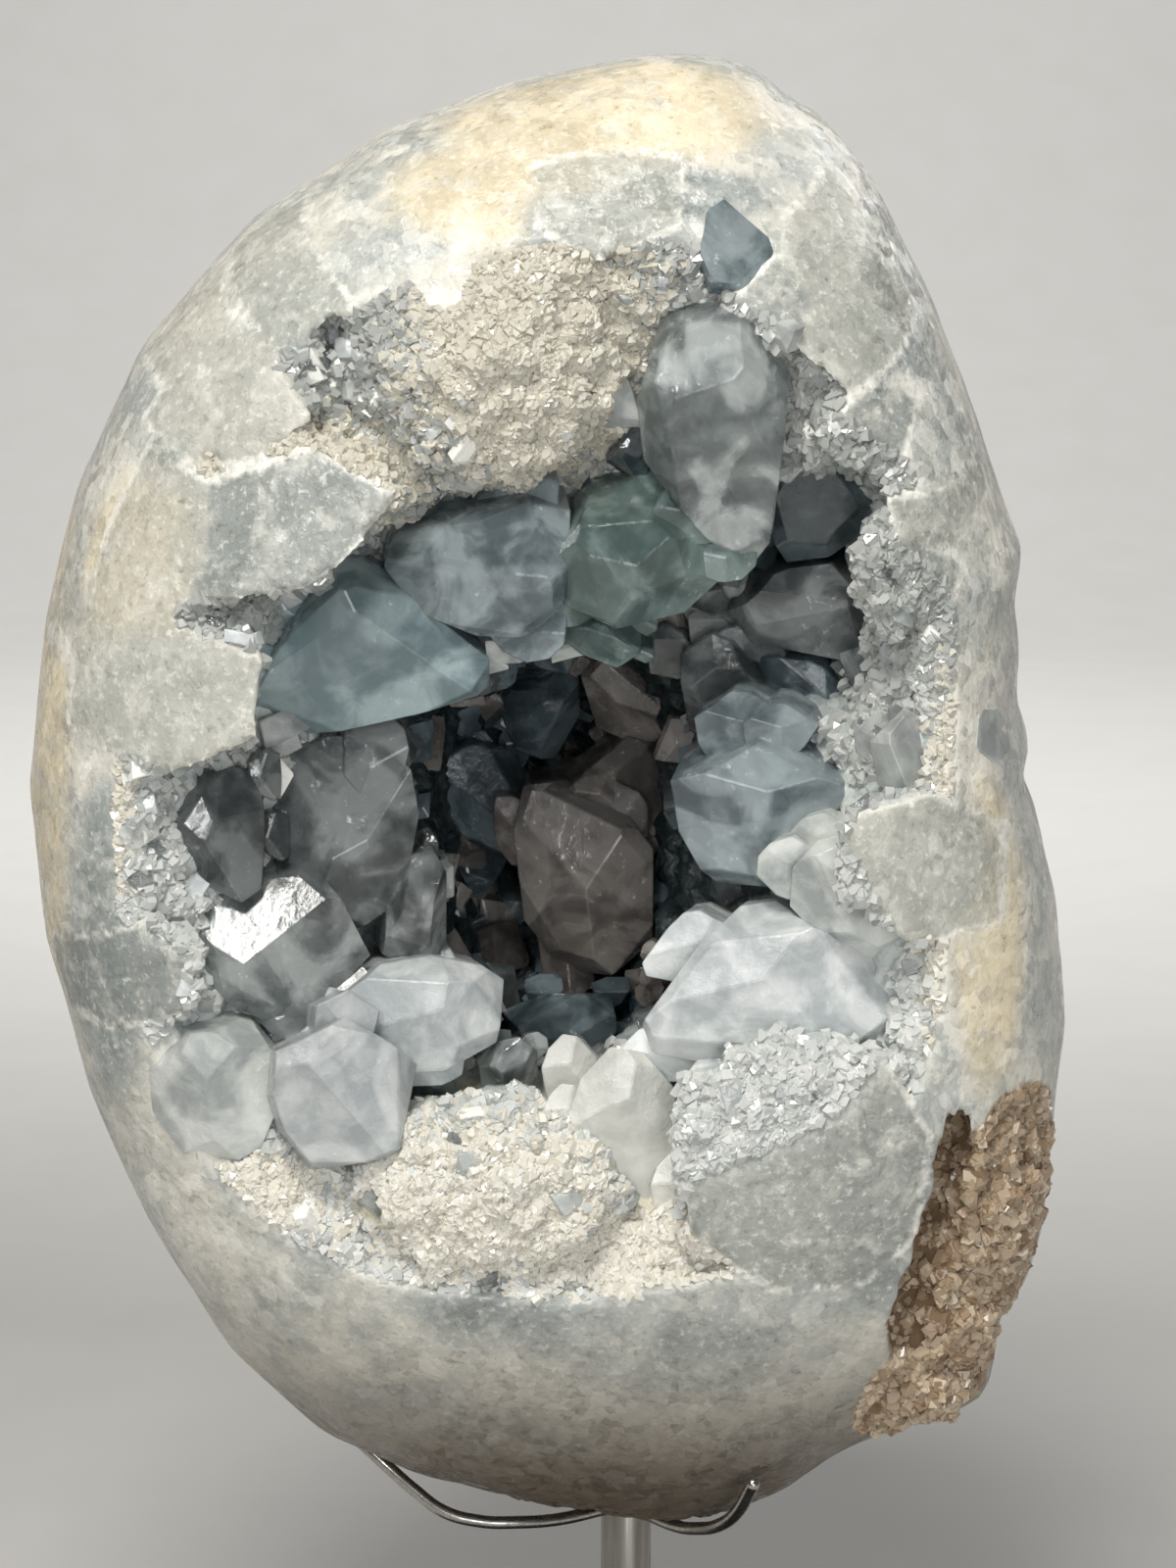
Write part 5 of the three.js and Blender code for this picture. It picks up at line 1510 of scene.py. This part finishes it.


# %% [markdown]
# Ten sorts stand in this hollow. The clear one mirrors the lamp on hard faces. Blue, teal and greenish
# ones are tinted right through, so they are darkest where they are thickest. Deep blue and smoky ones
# are darker copies of them, painted shade for the crystals that stand in shadow, and iron has stained
# the brown ones at the back. Icy, pale and frosted ones are matt with growth, and glow softly, because
# their milk sends the light back.

# %% Ten sorts of celestite
finishes = {
    "clear": celestite("clear_celestite", "#B4BCBD", "#D0D6D4", 0.88, 0.015, "#93A3A6", 22),
    "blue": celestite("blue_celestite", "#85959B", "#A7B3B6", 0.75, 0.04, "#7795A2", 26),
    # deep blue and smoky: darker copies of the tinted sorts, as painted shade
    "deep": celestite("shaded_deep_blue_celestite", "#64757B", "#85949A", 0.75, 0.05, "#567682", 35),
    "shaded_smoke": celestite("shaded_smoky_celestite", "#6C7374", "#8F9594", 0.75, 0.04, "#7D898C", 28),
    "frost": celestite("frosted_celestite", "#F2F3EC", "#FCFBF4", 0.15, 0.12, "#C4CECE", 15, 0.6),
    "ice": celestite("icy_celestite", "#C2C8C6", "#E2E5E0", 0.45, 0.08, "#9CAFB3", 20, 0.4),
    "pale": celestite("pale_celestite", "#CBD3D4", "#E6E9E8", 0.4, 0.1, "#AFC2C8", 20, 0.4),
    "teal": celestite("teal_celestite", "#93ABB1", "#B2C4C7", 0.6, 0.05, "#5A8690", 24),
    "green": celestite("greenish_celestite", "#6F8682", "#93A6A2", 0.65, 0.05, "#55807C", 34),
    "brown": celestite("brown_celestite", "#8C847E", "#A6A09A", 0.7, 0.06, "#8A7C74", 22),
}
for kind, piece in crystal_pieces.items():
    piece.data.materials.clear()
    piece.data.materials.append(finishes[kind])
    for face in piece.data.polygons:
        face.use_smooth = False
print("finishes:", [finish.name for finish in finishes.values()])

# %% [markdown]
# A grain of sugar is so small that what is seen is its own tone, so each keeps one. Patches of them
# are shadier, and the grains under the roof are darkened with painted shade. The same
# finish, in the colours of iron rust, does for the grit.

# %% Sugar and grit
# the heights over which painted shade darkens the grains under the hollow's roof
ROOF_SHADE_FROM, ROOF_SHADE_TO = LIFT + 110, LIFT + 190


def sugar_finish(name, light, dark, roof_shade):
    material, tree, coords = new_material(name)
    tone = add(tree, "Attribute", attribute_name="tone")
    patches = add(tree, "TexNoise", {"Vector": coords, "Scale": 1 / (9 * MM), "Detail": 4.0})
    shady = add(tree, "MapRange", {"Value": patches, "From Min": 0.4, "From Max": 0.65, "To Max": 0.5})
    height = add(tree, "SeparateXYZ", {"Vector": coords}).outputs["Z"]
    # painted shade: grains higher up, under the hollow's roof, turn towards a darker colour
    painted_roof_shade = add(tree, "MapRange", {"Value": height, "From Min": ROOF_SHADE_FROM * MM,
                                   "From Max": ROOF_SHADE_TO * MM, "To Max": 0.6})
    colour = add(tree, "Mix", {"Factor": tone, "A": linear(light), "B": linear(dark)}, data_type="RGBA")
    for share, over in ((shady, dark), (painted_roof_shade, roof_shade)):
        colour = add(tree, "Mix", {"Factor": share, "A": colour, "B": linear(over)}, data_type="RGBA")
    dull = add(tree, "MapRange", {"Value": tone, "To Min": 0.12, "To Max": 0.4})
    shade(tree, {"Base Color": colour, "Roughness": dull, "IOR": CELESTITE_IOR,
                 "Transmission Weight": 0.25})
    return material


for piece, name, *colours in (
    (matrix_grit, "iron_stained_grit", "#EBDABF", "#A4886A", "#A4886A"),
    (cream_sugar, "cream_sugar_celestite", "#FFFDF4", "#F3EDDE", "#D6D0BE"),
    (ice_sugar, "ice_sugar_celestite", "#FAFAF6", "#D8DCD8", "#9A9D97"),
):
    piece.data.materials.append(sugar_finish(name, *colours))
    print(piece.name, "is", name)

# %% [markdown]
# ## Metals
# The wires are stainless steel, drawn and polished, so they mirror the room in a narrow bright line.
# The rod was brushed along its length, which stretches that line. Real brushing is a few hundredths of
# a millimetre wide; here it is drawn at about a millimetre, as it wouldn't show.

# %% Polished and brushed steel


def steel(name, light, dark, roughness, scale):
    material, tree, coords = new_material(name)
    drawn = add(tree, "Mapping", {"Vector": coords, "Scale": scale})
    lines = add(tree, "TexNoise", {"Vector": drawn, "Scale": 1 / MM, "Detail": 4.0, "Roughness": 0.6})
    colour = add(tree, "Mix", {"Factor": lines, "A": linear(light), "B": linear(dark)},
                 data_type="RGBA")
    dull = add(tree, "MapRange", {"Value": lines, "From Min": 0.3, "From Max": 0.7, "To Min": roughness,
                                  "To Max": roughness + 0.15})
    bump = add(tree, "Bump", {"Height": lines, "Strength": 0.1, "Distance": 0.1 * MM})
    shade(tree, {"Base Color": colour, "Roughness": dull, "Metallic": 1.0, "Normal": bump})
    return material


wire_steel = steel("polished_steel_wire", "#C9C6BF", "#6F6C67", 0.16, (1, 1, 1))
for wire in wires.values():
    wire.data.materials.clear()
    wire.data.materials.append(wire_steel)
rod_steel = steel("brushed_steel_rod", "#A9A69F", "#6F6C67", 0.24, (1.5, 1.5, 0.05))
post_rod.data.materials.append(rod_steel)
print("steel on", len(wires), "wires and the rod")

# %% [markdown]
# The foot is steel under a matt black powder coat, which melts into a skin faintly dimpled like an
# orange's, with dimples just under a millimetre wide. The floor is plain pale paper.

# %% Powder coat and paper
material, tree, coords = new_material("black_powder_coat")
dimples = add(tree, "TexNoise", {"Vector": coords, "Scale": 1 / (0.9 * MM), "Detail": 3.0})
colour = add(tree, "Mix", {"Factor": dimples, "A": linear("#161617"), "B": linear("#242425")},
             data_type="RGBA")
dull = add(tree, "MapRange", {"Value": dimples, "From Min": 0.3, "From Max": 0.7, "To Min": 0.45,
                              "To Max": 0.6})
bump = add(tree, "Bump", {"Height": dimples, "Strength": 0.25, "Distance": 0.15 * MM})
shade(tree, {"Base Color": colour, "Roughness": dull, "Normal": bump})
foot_disc.data.materials.append(material)

material, tree, coords = new_material("pale_paper_floor")
fibres = add(tree, "TexNoise", {"Vector": coords, "Scale": 1 / (40 * MM), "Detail": 3.0})
colour = add(tree, "Mix", {"Factor": fibres, "A": linear("#CFCDC8"), "B": linear("#D6D4D0")},
             data_type="RGBA")
shade(tree, {"Base Color": colour, "Roughness": 0.9})
floor.data.materials.append(material)
print("materials:", len(bpy.data.materials))

# %% [markdown]
# ## Joining the frame
# Each piece rides on the one body of this object, and the solid that it stands for is hidden, so
# that the solid stays behind for collision and isn't drawn.

# %% Ride and replace
STANDS_FOR = [(stone, "geode_shell", "polished_matrix"), (cream_sugar, "crystal_crust", "celestite"),
              (ice_sugar, "crystal_crust", "celestite"),
              (matrix_grit, "geode_shell", "polished_matrix"),
              (post_rod, "post", "stand_steel"), (foot_disc, "base", "base_steel")]
STANDS_FOR += [(piece, "crystal_crust", "celestite") for piece in crystal_pieces.values()]
STANDS_FOR += [(wire, name, "stand_steel") for name, wire in wires.items()]
for piece, node, slot in STANDS_FOR:
    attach(piece, "root")
    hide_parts(node)
